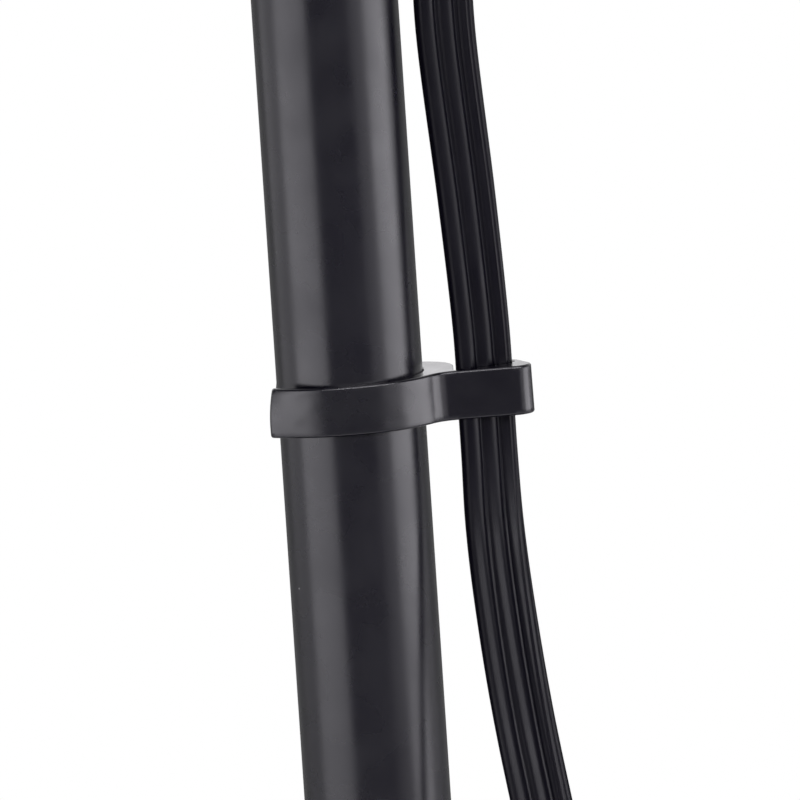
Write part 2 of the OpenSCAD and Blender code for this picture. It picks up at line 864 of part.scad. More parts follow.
module gearbox() {
    low = motor_z - gear_down;
    color("#5a5b60") difference() {
        union() {
            ahead() translate([0, 0, gear_back]) linear_extrude(gear_front - gear_back)
                translate([0, (gear_up - gear_down) / 2]) round_area(gear_w, gear_up + gear_down, 8);
            translate([0, 0, swivel_z]) cylinder(r = post_r + swivel_wall, h = low - swivel_z + 4);
        }
        translate([0, 0, swivel_z - past]) cylinder(r = post_r + run_fit, h = low + 12.5 - swivel_z + past);
        ahead() translate([0, osc_y - osc_depth, osc_z]) rotate([-90, 0, 0])
            cylinder(r = osc_stem_r + run_fit, h = osc_depth + past);
        ahead() translate([0, 0, gear_front - 5]) cylinder(r = shaft_r + 2, h = 5 + past);
        ahead() translate([-shell_r, -shell_r, gear_front]) cube([shell_d, shell_d, shell_r]);
    }
}

module oscillation_knob() {
    head_y = shell_r + free + 0.4;
    stem_y = osc_y - osc_depth + free;
    color("#1c1c1e") ahead() translate([0, 0, osc_z]) rotate([-90, 0, 0]) {
        translate([0, 0, stem_y]) cylinder(r = osc_stem_r, h = head_y - stem_y);
        translate([0, 0, head_y]) cylinder(d1 = osc_knob_d - 3, d2 = osc_knob_d, h = osc_head_h);
        translate([0, 0, head_y + osc_head_h]) cylinder(d1 = osc_knob_d, d2 = osc_knob_d - 5, h = 2.5);
    }
}

// A motor bracket: a plate with a bearing boss and a skirt that holds the stator
module motor_bracket() {
    plate_r = bracket_d / 2;
    skirt = winding_room + 3;
    difference() {
        union() {
            cylinder(r = plate_r, h = bracket_t);
            cylinder(r = bearing_r + 4, h = bearing_len + 2);
            translate([0, 0, bracket_t]) tube(plate_r, stator_d / 2 + fit, skirt);
        }
        translate([0, 0, -past]) cylinder(r = shaft_r + 1, h = bearing_len + 2 + 2 * past);
        translate([0, 0, 2]) cylinder(r = bearing_r + fit, h = bearing_len + past);
        around(4, motor_screw_ring, 45)
            translate([0, 0, -past]) cylinder(r = screw_r + fit, h = bracket_t + skirt + 2 * past);
        around(6, (bearing_r + 4 + stator_d / 2) / 2)
            translate([0, 0, -past]) cylinder(r = 6, h = bracket_t + 2 * past);
    }
}

module rear_bracket() {
    color("silver") ahead() translate([0, 0, rear_face]) motor_bracket();
}

module front_bracket() {
    color("silver") ahead() translate([0, 0, front_face + bracket_t]) rotate([180, 0, 0]) motor_bracket();
}

module stator_core() {
    color("gray") ahead() translate([0, 0, stator_z]) tube(stator_d / 2, rotor_r + air_gap, stator_len);
}

module stator_windings() {
    ring_r = (stator_d / 2 + rotor_r) / 2;
    turn_r = 4.5;
    color("peru") ahead() for (z = [stator_z - turn_r - fit, stator_end + turn_r + fit])
        translate([0, 0, z]) rotate_extrude() translate([ring_r, 0]) circle(turn_r);
}

module rear_bearing() {
    color("goldenrod") ahead() translate([0, 0, rear_face + 2])
        tube(bearing_r, shaft_r + run_fit, bearing_len);
}

module front_bearing() {
    color("goldenrod") ahead() translate([0, 0, front_face + bracket_t - 2 - bearing_len])
        tube(bearing_r, shaft_r + run_fit, bearing_len);
}

module motor_screws() {
    top = front_face + bracket_t;
    color("silver") ahead() around(4, motor_screw_ring, 45) {
        translate([0, 0, rear_face + 1]) cylinder(r = screw_r, h = top - rear_face - 1);
        translate([0, 0, top]) cylinder(r = screw_r + 1.6, h = 2.2);
    }
}

module motor_shell() {
    inner_r = shell_r - shell_t;
    vent_mid = shell_front - 14 - vent_len / 2;
    color("#26262a") ahead() difference() {
        union() {
            cylinder(r = shell_r, h = shell_front);
            sphere(r = shell_r);
        }
        cylinder(r = inner_r, h = shell_front + past);
        sphere(r = inner_r);
        rotate([90, 0, 0]) cylinder(r = post_r + swivel_wall + 2, h = shell_d);
        translate([0, 0, osc_z]) rotate([-90, 0, 0]) cylinder(r = osc_stem_r + 1, h = shell_d);
        around(vent_count, shell_r, 180 / vent_count)
            translate([-shell_t * 3, -vent_w / 2, vent_mid - vent_len / 2])
                cube([shell_t * 6, vent_w, vent_len]);
    }
}

module guard_plate() {
    spigot = plate_z - front_face - bracket_t;
    color("#26262a") ahead() translate([0, 0, plate_z]) difference() {
        union() {
            cylinder(r = shell_r, h = plate_t);
            cylinder(d = plate_boss_d, h = plate_t + plate_boss_h);
            translate([0, 0, -spigot]) cylinder(r = bearing_r + 6, h = spigot);
            translate([0, 0, -4]) tube(shell_r - shell_t - free, shell_r - shell_t - 3, 4);
        }
        translate([0, 0, -spigot - past])
            cylinder(r = shaft_r + 3, h = spigot + plate_t + plate_boss_h + 2 * past);
    }
}

module guard_nut() {
    color("#1c1c1e") ahead() translate([0, 0, nut_z]) difference() {
        union() {
            cylinder(d = guard_nut_d - 6, h = nut_h);
            around(12, guard_nut_d / 2 - 4) cylinder(r = 4, h = nut_h);
        }
        translate([0, 0, -past]) cylinder(d = plate_boss_d + 2 * fit, h = nut_h + 2 * past);
    }
}

// Wires of the rear guard, its welded rings, its rim and its centre ring
module rear_guard() {
    inner_x = guard_nut_d / 2 + 5;
    color("#3a3b40") ahead() {
        around(wire_count, 0) rear_wire(inner_x);
        for (s = tie_rings) translate([0, 0, rear_wire_z - 2 * wire_r - fit]) loop(s * cage_r, wire_r);
        translate([0, 0, rear_rim_z]) loop(cage_r, rim_r);
        translate([0, 0, ring_z]) tube(guard_nut_d / 2 + 18, plate_boss_d / 2 + fit, ring_t);
    }
}

module loop(radius, r) {
    rotate_extrude() translate([radius, 0]) circle(r, $fn = 24);
}

module rear_wire(inner_x) {
    translate([inner_x, 0, rear_wire_z]) rotate([0, 90, 0])
        cylinder(r = wire_r, h = bend_x - inner_x, $fn = 24);
    translate([bend_x, 0, rear_wire_z + cage_bend]) rotate([90, 0, 0]) rotate(-90)
        rotate_extrude(angle = 90) translate([cage_bend, 0]) circle(wire_r, $fn = 24);
}

module front_guard() {
    color("#3a3b40") ahead() {
        around(wire_count, 0) front_wire();
        for (x = concat([wire_end + 3], tie_rings * cage_r))
            translate([0, 0, front_z(x) - (2 * wire_r + fit) / sin(front_bend)]) loop(x, wire_r);
        translate([0, 0, front_rim_z]) loop(cage_r, rim_r);
    }
}

module front_wire() {
    translate([bend_x, 0, front_wire_z]) rotate([90, 0, 0]) {
        rotate_extrude(angle = front_bend) translate([cage_bend, 0]) circle(wire_r, $fn = 24);
        rotate(front_bend) translate([cage_bend, 0, 0]) rotate([-90, 0, 0])
            cylinder(r = wire_r, h = (knee_x - wire_end) / sin(front_bend), $fn = 24);
    }
}

// Clips that hold the two rims together
module rim_clips() {
    step = 360 / wire_count;
    span = step - 2 * asin((wire_r + 0.6) / cage_r);
    mid_z = (rear_rim_z + front_rim_z) / 2;
    half_h = rim_r * 2 + fit + 2.2;
    color("#1c1c1e") ahead() for (i = [0 : rim_clips_n - 1])
        rotate(step * (floor((45 + i * 360 / rim_clips_n) / step) + 0.5) - span / 2)
        rotate_extrude(angle = span) difference() {
            translate([cage_r - rim_r - 0.5, mid_z - half_h]) square([2 * rim_r + 3, 2 * half_h]);
            translate([cage_r, rear_rim_z]) circle(rim_r + fit);
            translate([cage_r, front_rim_z]) circle(rim_r + fit);
            translate([cage_r - rim_r - past, mid_z - half_h + 2])
                square([rim_r + past, 2 * half_h - 4]);
        }
}

// Plain badge over the inner ends of the front wires
module centre_badge() {
    r = badge_d / 2;
    rise = 5;
    bow = 3;
    crown = (r * r + bow * bow) / (2 * bow);
    color("#26262a") ahead() rotate_extrude() {
        intersection() {
            translate([0, badge_z + rise - crown]) circle(crown, $fn = 720);
            translate([0, badge_z]) square([r, rise + past]);
        }
        translate([0, badge_z - 5]) square([wire_end - 1, 5 + past / 2]);
    }
}

// Rotating set

module rotor() {
    color("silver") ahead() translate([0, 0, stator_z]) tube(rotor_r, shaft_r + fit / 2, stator_len);
}

module motor_shaft() {
    color("silver") ahead() difference() {
        translate([0, 0, rear_face + 1]) cylinder(r = shaft_r, h = shaft_end - rear_face - 1);
        translate([-hub_boss_r, 0, pin_z]) rotate([0, 90, 0])
            cylinder(r = pin_r + fit / 2, h = 2 * hub_boss_r);
    }
}

module drive_pin() {
    color("silver") ahead() translate([-hub_boss_r, 0, pin_z]) rotate([0, 90, 0])
        cylinder(r = pin_r, h = 2 * hub_boss_r);
}

// Chord of a blade, drawn in at the rounded tip
function chord(u) =
    (root_chord + (tip_chord - root_chord) * sin(90 * u)) * sqrt(max(1 - pow(u, 8) * 0.62, 0));
function pitch(u) = root_pitch + (tip_pitch - root_pitch) * u;

// A point of a blade: u runs from root to tip, s across the chord, side is the face
function blade_point(u, s, side) =
    let(
        r = hub_r - 2 + u * (blade_r - hub_r + 2),
        turn = blade_sweep * u * u + s * chord(u) * cos(pitch(u)) / r * 180 / PI,
        camber = 3.5 * (1 - 4 * s * s),
        thick = blade_t * (1 - 0.7 * abs(2 * s))
    )
    [r * cos(turn), r * sin(turn), blade_z + s * chord(u) * sin(pitch(u)) + camber + side * thick / 2];

function blade_row(i) = let(u = i / blade_rows) concat(
    [for (j = [0 : blade_cols]) blade_point(u, j / blade_cols - 0.5, -1)],
    [for (j = [blade_cols : -1 : 0]) blade_point(u, j / blade_cols - 0.5, 1)]
);

// Skins a list of equal rings, closed at both ends by fans about the rings' middles
module skin(rings) {
    n = len(rings[0]);
    last = len(rings) - 1;
    points = concat([for (r = rings) each r], [mean(rings[0]), mean(rings[last])]);
    sides = [for (i = [0 : last - 1], j = [0 : n - 1], half = [0, 1])
        let(a = i * n + j, b = i * n + (j + 1) % n) half == 0 ? [a, a + n, b] : [b, a + n, b + n]];
    first_cap = [for (j = [0 : n - 1]) [len(points) - 2, j, (j + 1) % n]];
    last_cap = [for (j = [0 : n - 1]) [len(points) - 1, last * n + (j + 1) % n, last * n + j]];
    polyhedron(points, concat(sides, first_cap, last_cap), convexity = 10);
}

function mean(list) = [for (k = [0 : 2]) sum([for (p = list) p[k]]) / len(list)];
function sum(list, i = 0) = i == len(list) ? 0 : list[i] + sum(list, i + 1);

module fan_blades() {
    color("#55565c") ahead() {
        difference() {
            translate([0, 0, hub_z]) cylinder(r = hub_r, h = hub_h);
            translate([0, 0, hub_z - past]) tube(hub_r - hub_wall, hub_boss_r, hub_h - hub_wall + past);
            translate([-hub_boss_r - past, -pin_r - fit, hub_z - past])
                cube([2 * hub_boss_r + 2 * past, 2 * pin_r + 2 * fit, 2 * pin_r + 1 + past + fit]);
            translate([0, 0, hub_z - past]) cylinder(r = shaft_r + fit / 2, h = hub_h + 2 * past);
        }
        around(blade_count, 0) skin([for (i = [0 : blade_rows]) blade_row(i)]);
    }
}

module spinner() {
    color("#1c1c1e") ahead() translate([0, 0, spinner_z]) difference() {
        rotate_extrude() {
            intersection() {
                translate([0, spinner_h - spinner_r]) circle(spinner_r);
                square([spinner_r, spinner_h]);
            }
            square([spinner_r + 4, 4]);
        }
        translate([0, 0, -past]) cylinder(r = shaft_r + fit / 2, h = spinner_h - 4 + past);
    }
}

// Lead: each point is a place, the compass direction of the wide side, and that side's rise
gland_seat = 12;
gland_z = box_z - gland_h;
clip_x = lead_off;
clip_y = -lead_fore;
floor_z = coil_at[2];
coil_x = coil_at[0] + coil_r;
coil_y = coil_at[1];
tail_y = coil_at[1] - coil_radius(coil_end);
tail_z = floor_z + coil_rise;
route_up = [
    [gland_off, 0, gland_z + gland_seat, 20, 0], [gland_off, 0, gland_z, 20, 0],
    [gland_off, 0, gland_z - 16, 20, 0], [31.8, 0, gland_z - 47, 20, 0], [31, -0.2, gland_z - 92, 21, 0],
    [29.6, -0.5, gland_z - 134, 20, 0], [28, -0.8, clip_z + 126, 19, 0], [26.2, -1, clip_z + 109, 18, 0],
    [23.7, -1, clip_z + 94, 18, 0], [21.2, -1, clip_z + 80, 18, 0], [20.4, -1, clip_z + 64, 19, 0],
    [22.15, -1, clip_z + 34, 25, 0], [clip_x - 0.05, clip_y, clip_z + 12, lead_turn, 0],
    [clip_x, clip_y, clip_z, lead_turn, 0]
];
route_down = [
    [clip_x, clip_y, clip_z, lead_turn, 0], [clip_x, clip_y - 0.1, clip_z - 11, lead_turn, 0],
    [23.3, -2.4, clip_z - 23, 23, 0], [24.1, -5.2, clip_z - 36, 16, 0], [25.7, -9, clip_z - 52, 8, 0],
    [27.9, -13, clip_z - 68, 3, 0], [31.8, -19.5, clip_z - 92, 4, 0],
    [37, -26.5, 212, 12, 0], [45, -34, 183, 26, 0], [56, -41, 153, 40, 0],
    [70, -46, 124, 54, 0], [88, -50, 97, 64, 0], [109, -52.5, 74, 71, 0],
    [coil_x - 118, coil_y + 131, 56, 75, 0], [coil_x - 95, coil_y + 130.5, 42, 75, 0],
    [coil_x - 74, coil_y + 129.5, 32, 75, 0], [coil_x - 57, coil_y + 127.5, 24.5, 74, 0],
    [coil_x - 42, coil_y + 124.5, 16.5, 72, 5], [coil_x - 29, coil_y + 119, 10.5, 66, 25],
    [coil_x - 18, coil_y + 110, 8, 58, 50], [coil_x - 9, coil_y + 96, floor_z, 50, 75],
    [coil_x - 3, coil_y + 79, floor_z, 45, 90], [coil_x - 0.5, coil_y + 59, floor_z, 0, 90],
    [coil_x, coil_y + 35, floor_z, 0, 90], [coil_x, coil_y + 13, floor_z, 0, 90],
    [coil_x, coil_y, floor_z, 0, 90]
];
route_tail = [
    [plug_x + 106, tail_y, tail_z, -90, 90], [plug_x + 94, tail_y, tail_z, -90, 90],
    [plug_x + 74, tail_y, 18.2, -90, 75], [plug_x + 52, tail_y, 16, -90, 40],
    [plug_x + 30, tail_y, 13.6, -90, 10], [plug_x + 12, tail_y, plug_z, -90, 0],
    [plug_x, tail_y, plug_z, -90, 0]
];

// Corners of the lead's section
function lead_section() = let(r = lead_lobe / 2, p = lead_pitch, v = lead_web / 2) [
    [p + r, 0], [p, r], [p / 2, v], [0, r], [-p / 2, v], [-p, r],
    [-p - r, 0], [-p, -r], [-p / 2, -v], [0, -r], [p / 2, -v], [p, -r]
];

// Smooth curve through the route's points, with one ring halfway between neighbours
function along(route, i, t) =
    let(
        n = len(route) - 1,
        p0 = route[max(i - 1, 0)],
        p1 = route[i],
        p2 = route[min(i + 1, n)],
        p3 = route[min(i + 2, n)]
    )
    0.5 * (2 * p1 + (p2 - p0) * t + (2 * p0 - 5 * p1 + 4 * p2 - p3) * t * t
        + (3 * p1 - p0 - 3 * p2 + p3) * t * t * t);
function smooth(route) = concat(
    [for (i = [0 : len(route) - 2], t = [0, 0.5]) along(route, i, t)],
    [route[len(route) - 1]]
);
function place(q) = [q[0], q[1], q[2]];
function wide(q) = [cos(q[4]) * cos(q[3]), cos(q[4]) * sin(q[3]), sin(q[4])];
function unit(v) = v / norm(v);

// Ring of the lead's section at a place, square to the way it runs
function lead_ring(at, run, side) =
    let(a = unit(side - run * (side * run)), b = cross(run, a))
    [for (q = lead_section()) at + q[0] * a + q[1] * b];
function run_at(path, i) =
    unit(place(path[min(i + 1, len(path) - 1)]) - place(path[max(i - 1, 0)]));
function lead_rings(path) =
    [for (i = [0 : len(path) - 1]) lead_ring(place(path[i]), run_at(path, i), wide(path[i]))];
function run_length(path) = sum([for (i = [1 : len(path) - 1]) norm(place(path[i]) - place(path[i - 1]))]);

// Coil on edge: it spirals in, climbs a layer in the half turn before it reverses, and spirals out
function coil_radius(a) =
    coil_r - coil_step * (a < coil_climb[1] ? a : 2 * coil_climb[1] - a) / 360;
function coil_height(a) =
    let(t = min(max((a - coil_climb[0]) / (coil_climb[1] - coil_climb[0]), 0), 1))
    coil_at[2] + coil_rise * t * t * (3 - 2 * t);
function coil_point(a) = [
    coil_at[0] + coil_radius(a) * cos(a), coil_at[1] - coil_radius(a) * sin(a), coil_height(a), 0, 90
];
coil_turns = [for (a = [0 : 360 / coil_rings : coil_end]) a];
coil_path = [for (a = coil_turns) coil_point(a)];
function coil_run(a) = unit(place(coil_point(a + 0.5)) - place(coil_point(a - 0.5)));

// Least gap of the coil to itself, on points of its turns one loop or more apart
coil_gap = min([for (i = [0 : len(coil_path) - 1], j = [0 : len(coil_path) - 1])
    if (j - i > coil_rings / 2) coil_clear(coil_path[i], coil_path[j])]);
function coil_clear(a, b) =
    let(flat = norm([a[0] - b[0], a[1] - b[1]]) - lead_lobe, up = abs(a[2] - b[2]) - lead_w)
    max(flat, up);
echo(coil_gap = coil_gap);
echo(lead_length = run_length(smooth(route_up)) + run_length(smooth(route_down)) + run_length(coil_path)
    + run_length(smooth(route_tail)));

module lead_upper() {
    color("#1c1c1e") skin(lead_rings(smooth(route_up)));
}

module lead_lower() {
    color("#1c1c1e") skin(lead_rings(smooth(route_down)));
}

module lead_coil() {
    color("#1c1c1e") skin([for (a = coil_turns) lead_ring(place(coil_point(a)), coil_run(a), [0, 0, 1])]);
}

module lead_tail() {
    color("#1c1c1e") skin(lead_rings(smooth(route_tail)));
}

// Strap round all the turns of the coil
module lead_tie() {
    tie_w = 8;
    strap = 0.9;
    inner_r = coil_radius(coil_climb[1]) - lead_lobe / 2 - 0.6;
    outer_r = coil_r + lead_lobe / 2 + 0.6;
    low = coil_at[2] - lead_w / 2 - 0.6;
    high = coil_at[2] + coil_rise + lead_w / 2 + 0.6;
    color("#2c2d31") translate([coil_at[0], coil_at[1], 0]) rotate(135)
        translate([0, tie_w / 2, 0]) rotate([90, 0, 0]) linear_extrude(tie_w) difference() {
            translate([inner_r - strap, low - strap])
                square([outer_r - inner_r + 2 * strap, high - low + 2 * strap]);
            translate([inner_r, low]) square([outer_r - inner_r, high - low]);
        }
}

// Plug: a moulded body that narrows to the lead, with two flat blades and a round earth pin
plug_at = [plug_x, tail_y, plug_z];
plug_len_x = 38;
plug_w = 27;
plug_h = 24;

module plug_body() {
    neck = 16;
    color("#1c1c1e") translate(plug_at) rotate([0, -90, 0]) {
        hull() {
            linear_extrude(1) round_area(10, 16, 4.5, $fn = 32);
            translate([0, 0, neck]) linear_extrude(1) round_area(plug_h, plug_w, 7, $fn = 32);
        }
        translate([0, 0, neck + 1]) linear_extrude(plug_len_x - neck - 1) round_area(plug_h, plug_w, 7);
    }
}

module plug_pins() {
    blade_gap = 12.7;
    blade_w = 6.3;
    blade_thick = 1.5;
    blade_len = 17.5;
    earth_r = 2.4;
    earth_len = 21;
    earth_off = 11.9;
    color("goldenrod") translate(plug_at) rotate([0, -90, 0]) translate([0, 0, plug_len_x]) {
        for (side = [-1, 1]) translate([4 - blade_w / 2, side * blade_gap / 2 - blade_thick / 2, 0])
            cube([blade_w, blade_thick, blade_len]);
        translate([4 - earth_off, 0, 0]) cylinder(r = earth_r, h = earth_len - earth_r);
        translate([4 - earth_off, 0, earth_len - earth_r]) sphere(r = earth_r);
    }
}

base_weight();
base_cover();
base_feet();
base_flange();
flange_bolts();
pole_plug();
pole_bolt();
outer_pole();
lead_clip();
collar_bush();
height_collar();
lock_knob();
inner_pole();
mast_guide();
control_box();
control_panel();
panel_screws();
speed_switch();
speed_knob();
run_capacitor();
lead_gland();
tilt_neck();
tilt_bolt();
tilt_knob();
swivel_post();
swivel_washer();
gearbox();
oscillation_knob();
rear_bracket();
front_bracket();
stator_core();
stator_windings();
rear_bearing();
front_bearing();
motor_screws();
motor_shell();
guard_plate();
guard_nut();
rear_guard();
front_guard();
rim_clips();
centre_badge();
rotor();
motor_shaft();
drive_pin();
fan_blades();
spinner();
lead_upper();
lead_lower();
lead_coil();
lead_tail();
lead_tie();
plug_body();
plug_pins();
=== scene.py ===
"""Looks of a pedestal fan: satin pole, snap clip, flat mains lead, caged head and domed base.

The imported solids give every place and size, in metres. The camera stands close to the lead clip.
"""

from __future__ import annotations

import json
import logging
import math
from dataclasses import dataclass, field
from enum import Enum
from typing import Callable, Sequence

import bmesh
import bpy
from mathutils import Matrix, Vector


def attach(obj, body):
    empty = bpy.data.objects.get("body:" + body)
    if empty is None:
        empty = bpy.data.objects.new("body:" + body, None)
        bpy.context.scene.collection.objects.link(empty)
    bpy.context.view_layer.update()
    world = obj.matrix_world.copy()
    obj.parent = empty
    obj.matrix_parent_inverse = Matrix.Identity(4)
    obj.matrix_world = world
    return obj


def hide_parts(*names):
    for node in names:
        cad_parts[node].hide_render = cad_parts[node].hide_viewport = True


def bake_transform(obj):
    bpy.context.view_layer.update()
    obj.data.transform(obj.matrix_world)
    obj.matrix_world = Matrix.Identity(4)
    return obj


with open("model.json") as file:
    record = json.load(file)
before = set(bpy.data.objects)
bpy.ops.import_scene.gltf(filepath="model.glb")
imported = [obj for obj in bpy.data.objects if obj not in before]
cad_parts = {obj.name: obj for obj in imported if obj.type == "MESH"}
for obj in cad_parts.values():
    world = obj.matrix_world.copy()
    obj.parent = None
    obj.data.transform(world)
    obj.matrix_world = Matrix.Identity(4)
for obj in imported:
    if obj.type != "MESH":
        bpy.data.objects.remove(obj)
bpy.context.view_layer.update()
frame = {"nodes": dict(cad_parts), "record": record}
LOG = logging.getLogger("fan")

MM = 0.001
SHARP_ANGLE = 35.0  # edges that bend more than this many degrees are shaded sharp
EASED_ANGLE = 40.0  # edges that bend more than this many degrees are rounded
FLAT_ANGLE = 0.15  # faces that differ by less than this many degrees become one
WELD = 0.005 * MM  # vertices of a copy that are closer than this become one
HAIR = 0.001 * MM  # the same for a piece that is made here
DOT_SEGMENTS = (20, 10)  # round and along a moulded dot

DRIFT = (34.0, 5.0)  # waves per metre and octaves of the colour's drift
SHEEN = (90.0, 4.0)  # the same for the roughness
DUST = (60.0, 1.0)  # the same for the patches where dust lies
NOISE_REACH = (0.3, 0.7)  # the values between which a noise mostly lies
SHEEN_SWING = 0.12  # share by which the roughness varies
SPECK_CELLS = 110.0  # cells per metre, each with room for a speck
SPECK_EDGE = (0.018, 0.03)  # distance in a cell over which a speck ends
DUST_EDGE = (0.56, 0.6)  # noise values over which a patch of dust begins

BLACK = (0.0, 0.0, 0.0)
WHITE = (1.0, 1.0, 1.0)

Pair = tuple[float, float]
Triple = tuple[float, float, float]
Station = tuple[float, float, float, float, float]
Tree = bpy.types.NodeTree
Socket = bpy.types.NodeSocket
Mesh = bmesh.types.BMesh
Marks = Callable[[Mesh], None]


# Nodes


def noise(tree: Tree, place: Socket, scale: float, detail: float,
          stretch: Triple = (1, 1, 1)) -> Socket:
    """Adds a noise over Object coordinates.

    Args:
        tree: The tree that takes the nodes.
        place: Socket of the coordinates.
        scale: Waves per metre.
        detail: Octaves of finer waves.
        stretch: Scale of each axis before the noise.

    Returns:
        The noise's value socket.
    """
    mapping = tree.nodes.new("ShaderNodeMapping")
    mapping.inputs["Scale"].default_value = stretch
    waves = tree.nodes.new("ShaderNodeTexNoise")
    waves.inputs["Scale"].default_value = scale
    waves.inputs["Detail"].default_value = detail
    tree.links.new(place, mapping.inputs["Vector"])
    tree.links.new(mapping.outputs["Vector"], waves.inputs["Vector"])
    return waves.outputs["Fac"]


def ramp(tree: Tree, value: Socket, reach: Pair, one: Triple, other: Triple) -> Socket:
    """Adds a colour ramp between two colours.

    Args:
        tree: The tree that takes the node.
        value: Socket of the value.
        reach: The values at which the two colours stand.
        one: The colour at the lower value.
        other: The colour at the higher value.

    Returns:
        The ramp's colour socket.
    """
    node = tree.nodes.new("ShaderNodeValToRGB")
    for element, at, colour in zip(node.color_ramp.elements, reach, (one, other)):
        element.position = at
        element.color = (*colour, 1.0)
    tree.links.new(value, node.inputs["Fac"])
    return node.outputs["Color"]


def map_range(tree: Tree, value: Socket, source: Pair, target: Pair,
              smooth: bool = False) -> Socket:
    """Adds a map from one range of values to another.

    Args:
        tree: The tree that takes the node.
        value: Socket of the value.
        source: The range that it is read over.
        target: The range that it is brought to.
        smooth: Whether it eases in and out.

    Returns:
        The mapped value's socket.
    """
    node = tree.nodes.new("ShaderNodeMapRange")
    if smooth:
        node.interpolation_type = "SMOOTHSTEP"
    for name, number in zip(("From Min", "From Max", "To Min", "To Max"), (*source, *target)):
        node.inputs[name].default_value = number
    tree.links.new(value, node.inputs["Value"])
    return node.outputs["Result"]


def mix_colour(tree: Tree, share: Socket | float, one: Socket, other: Socket | Triple,
               blend: str = "MIX") -> Socket:
    """Adds a mix of two colours.

    Args:
        tree: The tree that takes the node.
        share: How much of the other colour shows.
        one: Socket of the first colour.
        other: The other colour, or its socket.
        blend: The node's way of blending.

    Returns:
        The mixed colour's socket.
    """
    node = tree.nodes.new("ShaderNodeMix")
    node.data_type = "RGBA"
    node.blend_type = blend
    for name, given in (("Factor", share), ("A", one), ("B", other)):
        if isinstance(given, Socket):
            tree.links.new(given, node.inputs[name])
        else:
            number = (*given, 1.0) if isinstance(given, tuple) else given
            node.inputs[name].default_value = number
    return node.outputs["Result"]


def combine(tree: Tree, operation: str, one: Socket, other: Socket) -> Socket:
    """Adds a math node.

    Args:
        tree: The tree that takes the node.
        operation: What it does.
        one: Socket of its first value.
        other: Socket of its second value.

    Returns:
        The result's socket.
    """
    node = tree.nodes.new("ShaderNodeMath")
    node.operation = operation
    tree.links.new(one, node.inputs[0])
    tree.links.new(other, node.inputs[1])
    return node.outputs["Value"]


def depth_of(tree: Tree, place: Socket) -> Socket:
    """Takes the y of a vector, which grows away from the camera.

    Args:
        tree: The tree that takes the node.
        place: Socket of the vector.

    Returns:
        The y's socket.
    """
    node = tree.nodes.new("ShaderNodeSeparateXYZ")
    tree.links.new(place, node.inputs["Vector"])
    return node.outputs["Y"]


def seen_ray(tree: Tree, path: bpy.types.Node) -> Socket:
    """Adds up the camera, glossy and transmission rays of a Light Path node.

    Args:
        tree: The tree that holds the node.
        path: The Light Path node.

    Returns:
        A socket that is 1 for those rays.
    """
    first = combine(tree, "MAXIMUM", path.outputs["Is Camera Ray"], path.outputs["Is Glossy Ray"])
    return combine(tree, "MAXIMUM", first, path.outputs["Is Transmission Ray"])


# Finishes


class Grain(Enum):
    """The small relief of a surface: waves per metre, octaves, and the scale of each axis."""

    PEEL = (900.0, 2.0, (1, 1, 1))  # the soft ripple of a baked powder coat
    SPARK = (2600.0, 2.0, (1, 1, 1))  # the fine tooth of a moulded plastic
    SMOOTH = (220.0, 1.0, (1, 1, 1))  # a moulded or polished face with faint waviness
    BRUSHED = (900.0, 3.0, (1, 1, 0.04))  # fine lines of drawn or turned metal
    CAST = (420.0, 6.0, (1, 1, 1))  # the coarse skin of a sand casting
    STACKED = (1400.0, 0.0, (0.02, 1, 0.02))  # thin sheets stacked along the motor's axis
    JACKET = (700.0, 2.0, (1, 1, 0.25))  # the drawn skin of a soft lead


